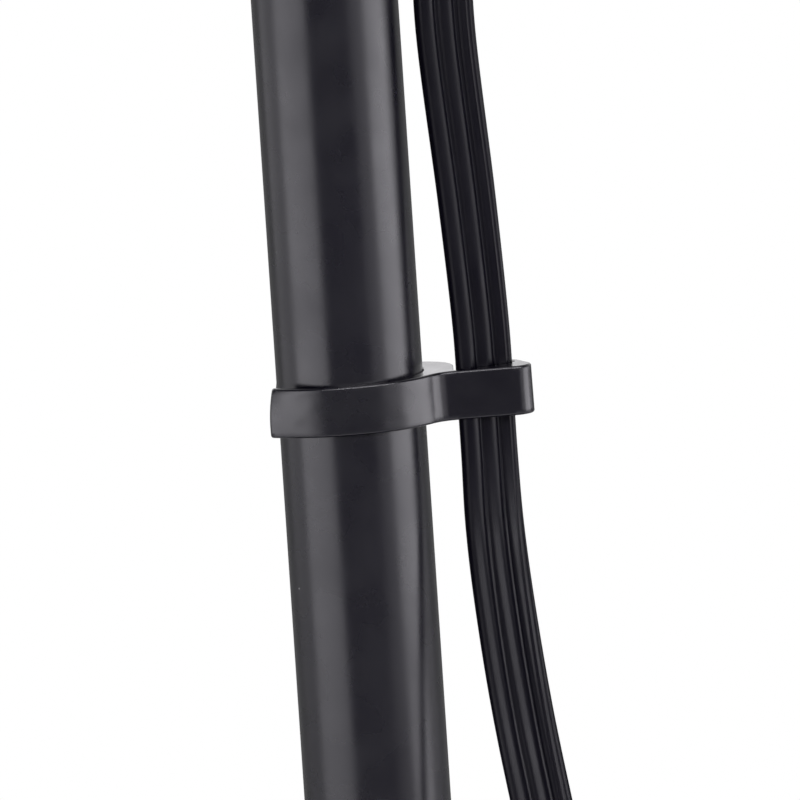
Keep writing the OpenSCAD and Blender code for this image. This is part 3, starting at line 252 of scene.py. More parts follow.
@dataclass(frozen=True)
class Finish:
    """A surface finish, made once as a node material."""

    name: str
    slot: str
    colour: Triple
    grain: Grain = Grain.SPARK
    roughness: float = 0.5
    spread: float = 0.12
    metallic: float = 0.0
    specular: float = 0.5
    relief: float = 0.04 * MM
    specks: float = 0.0

    def material(self) -> bpy.types.Material:
        """Makes the finish's material, or finds it if it is there.

        Returns:
            The material.
        """
        found = bpy.data.materials.get(self.name)
        if found is not None:
            return found
        made = bpy.data.materials.new(self.name)
        made.use_nodes = True
        tree = made.node_tree
        shader = tree.nodes["Principled BSDF"]
        shader.inputs["Metallic"].default_value = self.metallic
        shader.inputs["Specular IOR Level"].default_value = self.specular
        place = tree.nodes.new("ShaderNodeTexCoord").outputs["Object"]
        tree.links.new(self._colour(tree, place), shader.inputs["Base Color"])
        tree.links.new(self._roughness(tree, place), shader.inputs["Roughness"])
        tree.links.new(self._relief(tree, place), shader.inputs["Normal"])
        return made

    def _colour(self, tree: Tree, place: Socket) -> Socket:
        """Lets the colour drift a little, with pale specks of dust where the finish has them.

        Args:
            tree: The material's tree.
            place: Socket of the coordinates.

        Returns:
            The colour's socket.
        """
        dark = tuple(c * (1 - self.spread) for c in self.colour)
        pale = tuple(min(c * (1 + self.spread), 1.0) for c in self.colour)
        colour = ramp(tree, noise(tree, place, *DRIFT), NOISE_REACH, dark, pale)
        if self.specks:
            cells = tree.nodes.new("ShaderNodeTexVoronoi")
            cells.inputs["Scale"].default_value = SPECK_CELLS
            tree.links.new(place, cells.inputs["Vector"])
            near = ramp(tree, cells.outputs["Distance"], SPECK_EDGE, WHITE, BLACK)
            few = ramp(tree, noise(tree, place, *DUST), DUST_EDGE, BLACK, WHITE)
            spots = mix_colour(tree, 1.0, near, few, "MULTIPLY")
            colour = mix_colour(tree, spots, colour, (self.specks, self.specks, self.specks))
        return colour

    def _roughness(self, tree: Tree, place: Socket) -> Socket:
        """Lets the roughness vary over the surface, as handling and moulding leave it.

        Args:
            tree: The material's tree.
            place: Socket of the coordinates.

        Returns:
            The roughness's socket.
        """
        swing = SHEEN_SWING * self.roughness
        target = (self.roughness - swing, self.roughness + swing)
        return map_range(tree, noise(tree, place, *SHEEN), NOISE_REACH, target)

    def _relief(self, tree: Tree, place: Socket) -> Socket:
        """Makes the grain's small relief.

        Args:
            tree: The material's tree.
            place: Socket of the coordinates.

        Returns:
            The normal's socket.
        """
        bump = tree.nodes.new("ShaderNodeBump")
        bump.inputs["Strength"].default_value = 1.0
        bump.inputs["Distance"].default_value = self.relief
        tree.links.new(noise(tree, place, *self.grain.value), bump.inputs["Height"])
        return bump.outputs["Normal"]


POLE_COAT = Finish(
    "satin_charcoal_coat", "pole_paint", (0.0018, 0.0013, 0.0052), Grain.PEEL, 0.28, 0.06,
    specular=0.6, relief=0.006 * MM, specks=0.3)
BASE_COAT = Finish(
    "base_charcoal_coat", "base_paint", (0.0125, 0.012, 0.016), Grain.PEEL, 0.4, 0.08,
    relief=0.02 * MM)
CLIP_PLASTIC = Finish(
    "clip_black_plastic", "clip_plastic", (0.0014, 0.001, 0.0045), Grain.SMOOTH, 0.26, 0.1,
    specular=0.7, relief=0.08 * MM)
LEAD_JACKET = Finish(
    "lead_black_jacket", "lead_pvc", (0.0014, 0.001, 0.004), Grain.JACKET, 0.36, 0.12,
    specular=0.18, relief=0.02 * MM)
BLACK_PLASTIC = Finish(
    "black_toothed_plastic", "black_plastic", (0.014, 0.0137, 0.0165), Grain.SPARK, 0.52, 0.15)
PANEL_PLASTIC = Finish(
    "panel_grey_plastic", "panel_plastic", (0.045, 0.046, 0.051), Grain.SPARK, 0.48, 0.1)
BUSH_NYLON = Finish(
    "natural_nylon", "bush_nylon", (0.72, 0.7, 0.64), Grain.SMOOTH, 0.45, 0.05)
MAST_CHROME = Finish(
    "polished_mast", "mast_chrome", (0.66, 0.66, 0.68), Grain.BRUSHED, 0.14, 0.03,
    metallic=1.0, relief=0.004 * MM)
FASTENER_STEEL = Finish(
    "zinc_fastener", "fastener_steel", (0.5, 0.5, 0.5), Grain.BRUSHED, 0.34, 0.08,
    metallic=1.0, relief=0.01 * MM)
CAST_WEIGHT = Finish(
    "cast_iron_weight", "cast_weight", (0.06, 0.06, 0.063), Grain.CAST, 0.7, 0.2,
    relief=0.2 * MM)
FOOT_RUBBER = Finish(
    "foot_rubber", "foot_rubber", (0.018, 0.018, 0.018), Grain.SPARK, 0.75, 0.15)
SWITCH_PLASTIC = Finish(
    "ivory_switch", "switch_plastic", (0.6, 0.56, 0.44), Grain.SPARK, 0.5, 0.06)
CAPACITOR_CASE = Finish(
    "capacitor_case", "capacitor_case", (0.015, 0.015, 0.015), Grain.SMOOTH, 0.3, 0.1)
MOTOR_ALLOY = Finish(
    "die_cast_alloy", "motor_alloy", (0.42, 0.42, 0.43), Grain.CAST, 0.5, 0.1,
    metallic=1.0, relief=0.06 * MM)
CORE_STEEL = Finish(
    "stacked_core_steel", "core_steel", (0.24, 0.24, 0.25), Grain.STACKED, 0.45, 0.12,
    metallic=1.0, relief=0.1 * MM)
COPPER = Finish(
    "enamelled_copper", "winding_copper", (0.5, 0.2, 0.08), Grain.BRUSHED, 0.35, 0.2,
    metallic=1.0, relief=0.2 * MM)
BRONZE = Finish(
    "sintered_bronze", "bearing_bronze", (0.5, 0.33, 0.14), Grain.CAST, 0.45, 0.1,
    metallic=1.0)
GUARD_COAT = Finish(
    "guard_charcoal_coat", "guard_wire", (0.0145, 0.0142, 0.0175), Grain.PEEL, 0.38, 0.08,
    relief=0.01 * MM)
BLADE_PLASTIC = Finish(
    "blade_grey_plastic", "blade_plastic", (0.06, 0.061, 0.068), Grain.SMOOTH, 0.28, 0.06,
    relief=0.03 * MM)
PIN_BRASS = Finish(
    "plain_brass_pins", "pin_brass", (0.62, 0.44, 0.19), Grain.BRUSHED, 0.3, 0.08,
    metallic=1.0, relief=0.01 * MM)


# Making and placing pieces


def body_of(node: str) -> str:
    """Names the CAD body that a node rides on.

    Args:
        node: The CAD node.

    Returns:
        The body's name.
    """
    for body, nodes in frame["record"]["behaviour"]["bodies"].items():
        if node in nodes:
            return body
    raise KeyError(node)


def verts_in(geom: Sequence[object]) -> list[bmesh.types.BMVert]:
    """Picks the vertices out of what an operator made.

    Args:
        geom: Vertices, edges and faces.

    Returns:
        The vertices.
    """
    return [g for g in geom if isinstance(g, bmesh.types.BMVert)]


def piece_from(name: str, bm: Mesh, finish: Finish,
               sharp: float = SHARP_ANGLE) -> bpy.types.Object:
    """Turns a bmesh into an object at the origin with smooth faces and sharp edges.

    Args:
        name: The piece's name.
        bm: Its mesh, which is freed.
        finish: The finish of all its faces.
        sharp: Edges that bend more than this many degrees stay sharp.

    Returns:
        The new object.
    """
    mesh = bpy.data.meshes.new(name)
    bm.to_mesh(mesh)
    bm.free()
    mesh.materials.append(finish.material())
    for polygon in mesh.polygons:
        polygon.use_smooth = True
    mesh.set_sharp_from_angle(angle=math.radians(sharp))
    made = bpy.data.objects.new(name, mesh)
    bpy.context.scene.collection.objects.link(made)
    return made


def ease_edges(piece: bpy.types.Object, width: float, segments: int = 2) -> None:
    """Rounds a piece's sharp edges a little, as moulds and presses leave them.

    Args:
        piece: The piece.
        width: Width of the rounding in metres.
        segments: Faces across it.
    """
    bevel = piece.modifiers.new("eased_edges", "BEVEL")
    bevel.width = width
    bevel.segments = segments
    bevel.limit_method = "ANGLE"
    bevel.angle_limit = math.radians(EASED_ANGLE)
    bevel.harden_normals = True
    bevel.use_clamp_overlap = True


def settle(piece: bpy.types.Object, finish: Finish, *nodes: str) -> None:
    """Lets a piece stand for CAD nodes, on their body.

    Args:
        piece: The piece.
        finish: Not used.
        nodes: The CAD nodes, all of one body.
    """
    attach(piece, body_of(nodes[0]))
    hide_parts(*nodes)
    LOG.info("piece %s stands for %s", piece.name, ", ".join(nodes))


def add_dot(bm: Mesh, place: Triple, radius: float, rise: float) -> None:
    """Adds a low moulded dot, with all sizes in millimetres, on a face that looks forward.

    Args:
        bm: The mesh that takes it.
        place: Its middle.
        radius: Its radius on the face.
        rise: How far it stands out.
    """
    size = Matrix.Diagonal((radius * MM, rise * MM, radius * MM, 1))
    shape = Matrix.Translation(Vector(place) * MM) @ size
    around, along = DOT_SEGMENTS
    bmesh.ops.create_uvsphere(bm, u_segments=around, v_segments=along, radius=1.0, matrix=shape)


def add_bar(bm: Mesh, place: Triple, size: Triple) -> None:
    """Adds a moulded bar, with all sizes in millimetres.

    Args:
        bm: The mesh that takes it.
        place: Its middle.
        size: Its size along each axis.
    """
    shape = Matrix.Translation(Vector(place) * MM) @ Matrix.Diagonal((*(Vector(size) * MM), 1))
    bmesh.ops.create_cube(bm, size=1.0, matrix=shape)


def finished_copy(node: str, finish: Finish, ease: float = 0.0, sharp: float = SHARP_ANGLE,
                  marks: Marks | None = None) -> None:
    """Makes a merged, smooth-shaded copy of a CAD node and lets it stand for the node.

    Args:
        node: The CAD node.
        finish: Its finish.
        ease: Width of its eased edges in millimetres, or 0 for none.
        sharp: Edges that bend more than this many degrees stay sharp.
        marks: Adds moulded marks to the copy.
    """
    bm = bmesh.new()
    bm.from_mesh(frame["nodes"][node].data)
    bmesh.ops.remove_doubles(bm, verts=bm.verts[:], dist=WELD)
    bmesh.ops.dissolve_limit(bm, angle_limit=math.radians(FLAT_ANGLE), verts=bm.verts[:],
                             edges=bm.edges[:])
    if marks:
        marks(bm)
    made = piece_from(f"{node}_finished", bm, finish, sharp)
    if ease:
        ease_edges(made, ease * MM)
    settle(made, finish, node)


def finished_copies(*rows: tuple[str, Finish, float]) -> None:
    """Makes finished copies of CAD nodes, in order.

    Args:
        rows: The node, its finish and the width of its eased edges in millimetres, for each.
    """
    for node, finish, ease in rows:
        finished_copy(node, finish, ease)


# Camera, light and floor


@dataclass(frozen=True)
class Panel:
    """A soft lamp that looks at the pole, with its lengths in metres and its power in watts.

    The azimuth is in degrees to the right of the camera, seen from above. The distance is from
    the pole's axis, and the size is the panel's width and height.
    """

    name: str
    azimuth: float
    height: float
    distance: float
    size: Pair
    power: float


# Low side panels, each with a dimmer wing, and soft ones in front, behind and overhead
PANELS = (
    Panel("left_panel", -61, 0.18, 1.6, (1.7, 0.36), 4.7),
    Panel("left_wing", -80, 0.18, 1.7, (3.7, 0.36), 4.2),
    Panel("right_panel", 81, 0.18, 1.6, (1.15, 0.36), 4.2),
    Panel("right_wing", 81, 0.18, 1.7, (3.3, 0.36), 4.9),
    Panel("front_panel", 15, 1.1, 2.1, (3.2, 0.4), 46),
    Panel("back_panel", 180, 0.6, 1.6, (1.6, 0.5), 1.6),
    Panel("top_panel", 20, 2.6, 1.2, (1.6, 1.6), 20),
)


@dataclass
class Studio:
    """The close camera, the soft lamps, the room and the pale floor."""

    clip_height: float = 0.330
    elevation: float = 8.2
    lean: float = 3.8
    distance: float = 3.2
    frame_width: float = 138.4 * MM
    off_centre: Pair = (8.46 * MM, -0.1 * MM)
    sensor: float = 36.0
    sight: Pair = (0.1, 200.0)
    lamp_tint: Triple = (0.965, 0.945, 1.0)
    lamp_aim: float = 0.45
    room: float = 0.04
    wall_reach: Pair = (-0.3, 0.8)
    floor_radius: float = 90.0
    floor_sides: int = 96
    floor_grey: float = 0.86
    floor_roughness: float = 0.9
    floor_specular: float = 0.1
    floor_reach: Pair = (-0.4, 1.5)
    floor_glow: float = 0.22
    fade_reach: Pair = (0.6, 1.5)

    def camera(self) -> None:
        """Stands the camera in front of the clip, rolled so that the pole leans in the view."""
        tip, roll = math.radians(self.elevation), math.radians(self.lean)
        level = Vector((1, 0, 0))
        rise = Vector((0, math.sin(tip), math.cos(tip)))
        right = level * math.cos(roll) - rise * math.sin(roll)
        up = level * math.sin(roll) + rise * math.cos(roll)
        back = right.cross(up)
        across, upward = self.off_centre
        aim = Vector((0, 0, self.clip_height)) + right * across + up * upward
        data = bpy.data.cameras.new("clip_camera")
        data.sensor_width = self.sensor
        data.lens = self.sensor * self.distance / self.frame_width
        data.clip_start, data.clip_end = self.sight
        made = bpy.data.objects.new("clip_camera", data)
        turn = Matrix((right, up, back)).transposed().to_4x4()
        made.matrix_world = Matrix.Translation(aim + back * self.distance) @ turn
        bpy.context.scene.collection.objects.link(made)
        bpy.context.scene.camera = made

    def hang(self, panel: Panel) -> None:
        """Hangs a lamp.

        Args:
            panel: Its size, place and power.
        """
        data = bpy.data.lights.new(panel.name, "AREA")
        data.shape = "RECTANGLE"
        data.size, data.size_y = panel.size
        data.energy = panel.power
        data.color = self.lamp_tint
        turn = math.radians(panel.azimuth)
        place = Vector((math.sin(turn) * panel.distance, -math.cos(turn) * panel.distance,
                        panel.height))
        look = (Vector((0, 0, self.lamp_aim)) - place).to_track_quat("-Z", "Y")
        made = bpy.data.objects.new(panel.name, data)
        made.matrix_world = Matrix.Translation(place) @ look.to_matrix().to_4x4()
        bpy.context.scene.collection.objects.link(made)

    def world(self) -> None:
        """Makes the room: white where it is seen, pale behind the fan and dim before it."""
        world = bpy.data.worlds.new("studio_room")
        bpy.context.scene.world = world
        world.use_nodes = True
        tree = world.node_tree
        toward = tree.nodes.new("ShaderNodeTexCoord").outputs["Generated"]
        wall = map_range(tree, depth_of(tree, toward), self.wall_reach, (self.room, 1.0), True)
        seen = tree.nodes.new("ShaderNodeLightPath").outputs["Is Camera Ray"]
        shown = mix_colour(tree, seen, wall, WHITE)
        tree.links.new(shown, tree.nodes["Background"].inputs["Color"])

    def floor_paint(self) -> bpy.types.Material:
        """Makes the floor's paint, matt near the stand and white further off where it is seen.

        Returns:
            The material.
        """
        paint = bpy.data.materials.new("pale_floor")
        paint.use_nodes = True
        tree = paint.node_tree
        matt = tree.nodes["Principled BSDF"]
        grey = self.floor_grey
        matt.inputs["Base Color"].default_value = (grey, grey, grey, 1)
        matt.inputs["Roughness"].default_value = self.floor_roughness
        matt.inputs["Specular IOR Level"].default_value = self.floor_specular
        place = tree.nodes.new("ShaderNodeTexCoord").outputs["Object"]
        path = tree.nodes.new("ShaderNodeLightPath")
        dim = map_range(tree, depth_of(tree, place), self.floor_reach,
                        (self.room, self.floor_glow))
        shown = mix_colour(tree, path.outputs["Is Camera Ray"], dim, WHITE)
        glow = tree.nodes.new("ShaderNodeEmission")
        glow.inputs["Strength"].default_value = 1.0
        tree.links.new(shown, glow.inputs["Color"])
        far = tree.nodes.new("ShaderNodeVectorMath")
        far.operation = "LENGTH"
        tree.links.new(place, far.inputs[0])
        fade = map_range(tree, far.outputs["Value"], self.fade_reach, (0.0, 1.0))
        mix = tree.nodes.new("ShaderNodeMixShader")
        tree.links.new(combine(tree, "MULTIPLY", fade, seen_ray(tree, path)), mix.inputs["Fac"])
        tree.links.new(matt.outputs["BSDF"], mix.inputs[1])
        tree.links.new(glow.outputs["Emission"], mix.inputs[2])
        tree.links.new(mix.outputs["Shader"], tree.nodes["Material Output"].inputs["Surface"])
        return paint

    def floor(self) -> None:
        """Lays a wide pale floor that takes the stand's shadow."""
        bm = bmesh.new()
        bmesh.ops.create_circle(bm, cap_ends=True, radius=self.floor_radius,
                                segments=self.floor_sides)
        mesh = bpy.data.meshes.new("studio_floor")
        bm.to_mesh(mesh)
        bm.free()
        mesh.materials.append(self.floor_paint())
        made = bpy.data.objects.new("studio_floor", mesh)
        bpy.context.scene.collection.objects.link(made)

    def light(self) -> None:
        """Sets the plain view transform and lights the room."""
        bpy.context.scene.view_settings.view_transform = "Standard"
        for panel in PANELS:
            self.hang(panel)
        self.world()
        self.floor()


# The lead


@dataclass
class MainsLead:
    """The flat three-core lead: gland, clip, base, coil, plug.

    Sizes are in millimetres and turns in degrees. Stations are x, y, z, and the compass and rise
    of the lead's width. The coil winds inward as far as coil_in and climbs a layer on the way.
    """

    lobe: float = 3.6
    pitch: float = 3.5
    web: float = 1.9
    lobe_points: int = 22
    groove_points: int = 9
    end_gap: float = 0.2
    ridges: int = 4
    ridge: float = 0.13
    ridge_stride: int = 3
    sharp: float = 60.0
    coil_at: Triple = (190.0, -185.0, 6.9)
    coil_r: float = 60.0
    coil_step: float = 4.4
    coil_rise: float = 11.8
    coil_turn: int = 810
    coil_in: int = 540
    coil_stride: int = 5
    climb_from: int = 450
    climb_over: int = 90
    steps: int = 10
    tail_steps: int = 5
    up: list[Station] = field(default_factory=lambda: [
        (32, 0, 629, 20, 0), (32, 0, 617, 20, 0), (32, 0, 601, 20, 0), (31.8, 0, 570, 20, 0),
        (31, -0.2, 525, 21, 0), (29.6, -0.5, 483, 20, 0), (28, -0.8, 456, 19, 0),
        (26.2, -1, 439, 18, 0), (23.7, -1, 424, 18, 0), (21.2, -1, 410, 18, 0),
        (20.4, -1, 394, 19, 0), (22.15, -1, 364, 25, 0), (23.15, -1, 342, 29, 0),
        (23.2, -1, 330, 29, 0),
    ])
    down: list[Station] = field(default_factory=lambda: [
        (23.2, -1, 330, 29, 0), (23.2, -1.1, 319, 29, 0), (23.3, -2.4, 307, 23, 0),
        (24.1, -5.2, 294, 16, 0), (25.7, -9, 278, 8, 0), (27.9, -13, 262, 3, 0),
        (31.8, -19.5, 238, 4, 0), (37, -26.5, 212, 12, 0), (45, -34, 183, 26, 0),
        (56, -41, 153, 40, 0), (70, -46, 124, 54, 0), (88, -50, 97, 64, 0),
        (109, -52.5, 74, 71, 0), (132, -54, 56, 75, 0), (155, -54.5, 42, 75, 0),
        (176, -55.5, 32, 75, 0), (193, -57.5, 24.5, 74, 0), (208, -60.5, 16.5, 72, 5),
        (221, -66, 10.5, 66, 25), (232, -75, 8, 58, 50), (241, -89, 6.9, 50, 75),
        (247, -106, 6.9, 45, 90), (249.5, -126, 6.9, 0, 90), (250, -150, 6.9, 0, 90),
        (250, -172, 6.9, 0, 90), (250, -185, 6.9, 0, 90),
    ])
    tail: list[Station] = field(default_factory=lambda: [
        (190, -241.7, 18.7, -90, 90), (178, -241.7, 18.7, -90, 90), (158, -241.7, 18.2, -90, 75),
        (136, -241.7, 16, -90, 40), (114, -241.7, 13.6, -90, 10), (96, -241.7, 13, -90, 0),
        (84, -241.7, 13, -90, 0),
    ])

    def smooth(self, stations: Sequence[Station], steps: int) -> list[Station]:
        """Runs a smooth curve through stations.

        Args:
            stations: The points that it passes.
            steps: Points from one station to the next.

        Returns:
            The curve's points, the first station among them and the last one left out.
        """
        last = len(stations) - 1
        made: list[Station] = []
        for i in range(last):
            p0, p1 = stations[max(i - 1, 0)], stations[i]
            p2, p3 = stations[i + 1], stations[min(i + 2, last)]
            for k in range(steps):
                t = k / steps
                made.append(tuple(
                    0.5 * (2 * b + (c - a) * t + (2 * a - 5 * b + 4 * c - d) * t * t
                           + (3 * b - a - 3 * c + d) * t ** 3)
                    for a, b, c, d in zip(p0, p1, p2, p3)))
        return made

    def coil(self) -> list[Station]:
        """Winds the coil: in along the floor, up a layer, and out again.

        Returns:
            The coil's points.
        """
        x, y, z = self.coil_at
        made: list[Station] = []
        for k in range(0, self.coil_turn, self.coil_stride):
            inward = k if k < self.coil_in else 2 * self.coil_in - k
            radius = self.coil_r - self.coil_step * inward / 360
            t = min(max((k - self.climb_from) / self.climb_over, 0.0), 1.0)
            turn = math.radians(k)
            made.append((x + radius * math.cos(turn), y - radius * math.sin(turn),
                         z + self.coil_rise * t * t * (3 - 2 * t), 0, 90))
        return made

    def route(self) -> list[Station]:
        """Joins the stretches into one route from the gland to the plug.

        Returns:
            The route's points.
        """
        return [*self.smooth(self.up, self.steps), *self.smooth(self.down, self.steps),
                *self.coil(), *self.smooth(self.tail, self.tail_steps), self.tail[-1]]

    def arc(self, centre: float, start: float, end: float, count: int,
            ridged: bool = False) -> list[Pair]:
        """Draws part of a lobe's outline.

        Args:
            centre: Where the lobe's middle lies across the lead.
            start: Angle of the first point, in radians.
            end: Angle of the last one.
            count: How many points it has.
            ridged: Whether it carries the fine ridges.

        Returns:
            The points.
        """
        made: list[Pair] = []
        for k in range(count):
            at = start + (end - start) * k / (count - 1)
            r = self.lobe / 2
            within = self.ridge_stride < k <= self.ridge_stride * (self.ridges + 1)
            if ridged and within and k % self.ridge_stride == 1:
                r += self.ridge
            made.append((centre + r * math.cos(at), r * math.sin(at)))
        return made

    def section(self) -> list[Pair]:
        """Draws the lead's outline: three lobes, the grooves between them, and fine ridges.

        Returns:
            The outline's points, in order.
        """
        groove = math.asin(self.web / self.lobe)
        half, whole = math.pi, math.tau
        return [
            *self.arc(self.pitch, 0.0, half - groove, self.lobe_points, True),
            *self.arc(0.0, groove, half - groove, self.groove_points),
            *self.arc(-self.pitch, groove, whole - groove, self.lobe_points),
            *self.arc(0.0, half + groove, whole - groove, self.groove_points),
            *self.arc(self.pitch, half + groove, whole - self.end_gap, self.groove_points),
        ]

    def seats(self, route: Sequence[Station], places: Sequence[Vector]) -> list[Matrix]:
        """Finds how the outline sits at each point of the route.

        Args:
            route: The route's points.
            places: Their places in metres.

        Returns:
            A matrix for each, with the outline's width along its x and the run along its z.
        """
        made: list[Matrix] = []
        for i, station in enumerate(route):
            run = (places[min(i + 1, len(places) - 1)] - places[max(i - 1, 0)]).normalized()
            compass, rise = math.radians(station[3]), math.radians(station[4])
            flat = math.cos(rise)
            side = Vector((flat * math.cos(compass), flat * math.sin(compass), math.sin(rise)))
            wide = (side - run * side.dot(run)).normalized()
            turn = Matrix((wide, run.cross(wide), run)).transposed().to_4x4()
            made.append(Matrix.Translation(places[i]) @ turn)
        return made

    def build(self) -> None:
        """Extrudes the outline along the route as one piece."""
        route = self.route()
        places = [Vector(s[:3]) * MM for s in route]
        seats = self.seats(route, places)
        bm = bmesh.new()
        outline = [seats[0] @ Vector((u * MM, v * MM, 0)) for u, v in self.section()]
        rim = list(bm.faces.new([bm.verts.new(point) for point in outline]).edges)
        for before, after in zip(seats, seats[1:]):
            fresh = bmesh.ops.extrude_edge_only(bm, edges=rim)["geom"]
            bmesh.ops.transform(bm, matrix=after @ before.inverted(), verts=verts_in(fresh))
            rim = [g for g in fresh if isinstance(g, bmesh.types.BMEdge) and g.is_boundary]
        bmesh.ops.edgeloop_fill(bm, edges=rim)
        bmesh.ops.recalc_face_normals(bm, faces=bm.faces[:])
        made = piece_from("mains_lead", bm, LEAD_JACKET, self.sharp)
        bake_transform(made)
        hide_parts("lead_upper", "lead_lower", "lead_coil", "lead_tail")


@dataclass
class LeadEnd:
    """The tie round the coil, and the plug, with sizes in millimetres."""

    plug_y: float = -241.7
    plug_z: float = 13.0
    ribs: int = 5
    rib_from: float = 51.0
    rib_step: float = 3.0
    rib_out: float = 13.6
    rib_size: Triple = (1.3, 1.2, 11.0)

    def grip(self, bm: Mesh) -> None:
        """Adds the finger ribs on the plug's two sides.

        Args:
            bm: The plug's mesh.
        """
        for side in (-1, 1):
            for k in range(self.ribs):
                place = (self.rib_from + self.rib_step * k, self.plug_y + side * self.rib_out,
                         self.plug_z)
                add_bar(bm, place, self.rib_size)

    def build(self) -> None:
        """Dresses the tie and the plug."""
        finished_copy("lead_tie", BLACK_PLASTIC, 0.15)
        finished_copy("plug_body", LEAD_JACKET, 0.4, marks=self.grip)
        finished_copy("plug_pins", PIN_BRASS, 0.2)


# The other sub-assemblies


@dataclass
class Stand:
    """The base, the outer pole with its lead clip, and the height collar.

    The clip's left end slants: slant_from and slant_over say where, in millimetres left of the
    pole's axis, and slant gives the shift at half height and how it changes towards the top.
    """

    pole_r: float = 12.7 * MM
    pole_wall: float = 1.2 * MM
    pole_sides: int = 192
    foot: float = 24.0 * MM
    top: float = 544.0 * MM
    lip: float = 0.25 * MM
    clip_height: float = 330.0 * MM
    clip_cant: float = 0.8
    clip_edge: float = 0.4 * MM
    clip_edge_segments: int = 4
    clip_weld: float = 0.03 * MM
    clip_slices: int = 8
    upright: float = 0.9
    slant_from: float = 9.0
    slant_over: float = 4.5
    slant: Triple = (-0.15, 0.42, 0.33)

    def pole(self) -> None:
        """Spins the pole's wall with eased ends."""
        inner = self.pole_r - self.pole_wall
        eased = self.pole_r - self.lip
        wall = [
            (inner, self.foot), (eased, self.foot), (self.pole_r, self.foot + self.lip),
            (self.pole_r, self.top - self.lip), (eased, self.top), (inner, self.top),
        ]
        bm = bmesh.new()
        verts = [bm.verts.new((x, 0, z)) for x, z in wall]
        edges = [bm.edges.new(pair) for pair in zip(verts, verts[1:] + verts[:1])]
        bmesh.ops.spin(bm, geom=[*verts, *edges], cent=(0, 0, 0), axis=(0, 0, 1), angle=math.tau,
                       steps=self.pole_sides, use_merge=True)
        bmesh.ops.remove_doubles(bm, verts=bm.verts[:], dist=HAIR)
        bmesh.ops.recalc_face_normals(bm, faces=bm.faces[:])
        settle(piece_from("outer_pole_tube", bm, POLE_COAT), POLE_COAT, "outer_pole")

    def clip_outline(self) -> tuple[list[Vector], float, float]:
        """Reads the clip's plan from its CAD solid, turned level.

        Returns:
            The corners of the plan in order, and the heights of its lower and upper faces.
        """
        cant = Matrix.Rotation(math.radians(self.clip_cant), 4, "Y")
        bm = bmesh.new()
        bm.from_mesh(frame["nodes"]["lead_clip"].data)
        bmesh.ops.transform(bm, matrix=cant @ Matrix.Translation((0, 0, -self.clip_height)),
                            verts=bm.verts[:])
        bmesh.ops.remove_doubles(bm, verts=bm.verts[:], dist=self.clip_weld)
        low, high = (pick(v.co.z for v in bm.verts) for pick in (min, max))
        bm.normal_update()
        top = {f for f in bm.faces if f.normal.z > self.upright}
        rim = [e for e in bm.edges if sum(f in top for f in e.link_faces) == 1]
        follow: dict[bmesh.types.BMVert, list[bmesh.types.BMVert]] = {}
        for edge in rim:
            for one, other in (edge.verts, reversed(edge.verts)):
                follow.setdefault(one, []).append(other)
        start = rim[0].verts[0]
        walk, back = [start], None
        while True:
            ahead = next((v for v in follow[walk[-1]] if v is not back), start)
            if ahead is start:
                break
            back = walk[-1]
            walk.append(ahead)
        plan = [v.co.xy.to_3d() for v in walk]
        bm.free()
        return plan, low, high

    def clip(self) -> None:
        """Builds the snap clip on its plan, with the soft edges of a moulding."""
        plan, low, high = self.clip_outline()
        tall = high - low
        bm = bmesh.new()
        base = bm.faces.new([bm.verts.new((p.x, p.y, low)) for p in plan])
        lifted = bmesh.ops.extrude_face_region(bm, geom=[base])["geom"]
        bmesh.ops.translate(bm, vec=(0, 0, tall), verts=verts_in(lifted))
        for k in range(1, self.clip_slices):
            bmesh.ops.bisect_plane(bm, geom=[*bm.verts, *bm.edges, *bm.faces], dist=HAIR,
                                   plane_co=(0, 0, low + tall * k / self.clip_slices),
                                   plane_no=(0, 0, 1))
        bmesh.ops.recalc_face_normals(bm, faces=bm.faces[:])
        soft = [e for e in bm.edges if e.calc_face_angle(0.0) > math.radians(EASED_ANGLE)]
        bmesh.ops.bevel(bm, geom=soft, offset=self.clip_edge, offset_type="OFFSET",
                        segments=self.clip_edge_segments, profile=0.5, affect="EDGES",
                        clamp_overlap=False, material=-1)
        middle, climb, curve = self.slant
        for vert in bm.verts:
            share = min(max((-vert.co.x / MM - self.slant_from) / self.slant_over, 0.0), 1.0)
            rise = 2 * vert.co.z / tall
            vert.co.x += share * (middle + climb * rise + curve * rise * rise) * MM
        cant = Matrix.Rotation(-math.radians(self.clip_cant), 4, "Y")
        bmesh.ops.transform(bm, matrix=Matrix.Translation((0, 0, self.clip_height)) @ cant,
                            verts=bm.verts[:])
        made = piece_from("lead_clip_moulding", bm, CLIP_PLASTIC)
        made.modifiers.new("flat_faces", "WEIGHTED_NORMAL").keep_sharp = True
        settle(made, CLIP_PLASTIC, "lead_clip")

    def build(self) -> None:
        """Builds and dresses the stand."""
        self.pole()
        self.clip()
        finished_copies(
            ("base_cover", BASE_COAT, 0.4),
            ("base_weight", CAST_WEIGHT, 0.8),
            ("base_feet", FOOT_RUBBER, 0.8),
            ("base_flange", BLACK_PLASTIC, 0.6),
            ("flange_bolts", FASTENER_STEEL, 0.3),
            ("pole_plug", MOTOR_ALLOY, 0.3),
            ("pole_bolt", FASTENER_STEEL, 0.4),
            ("collar_bush", BUSH_NYLON, 0.3),
            ("height_collar", BLACK_PLASTIC, 0.5),
            ("lock_knob", BLACK_PLASTIC, 0.8),
        )


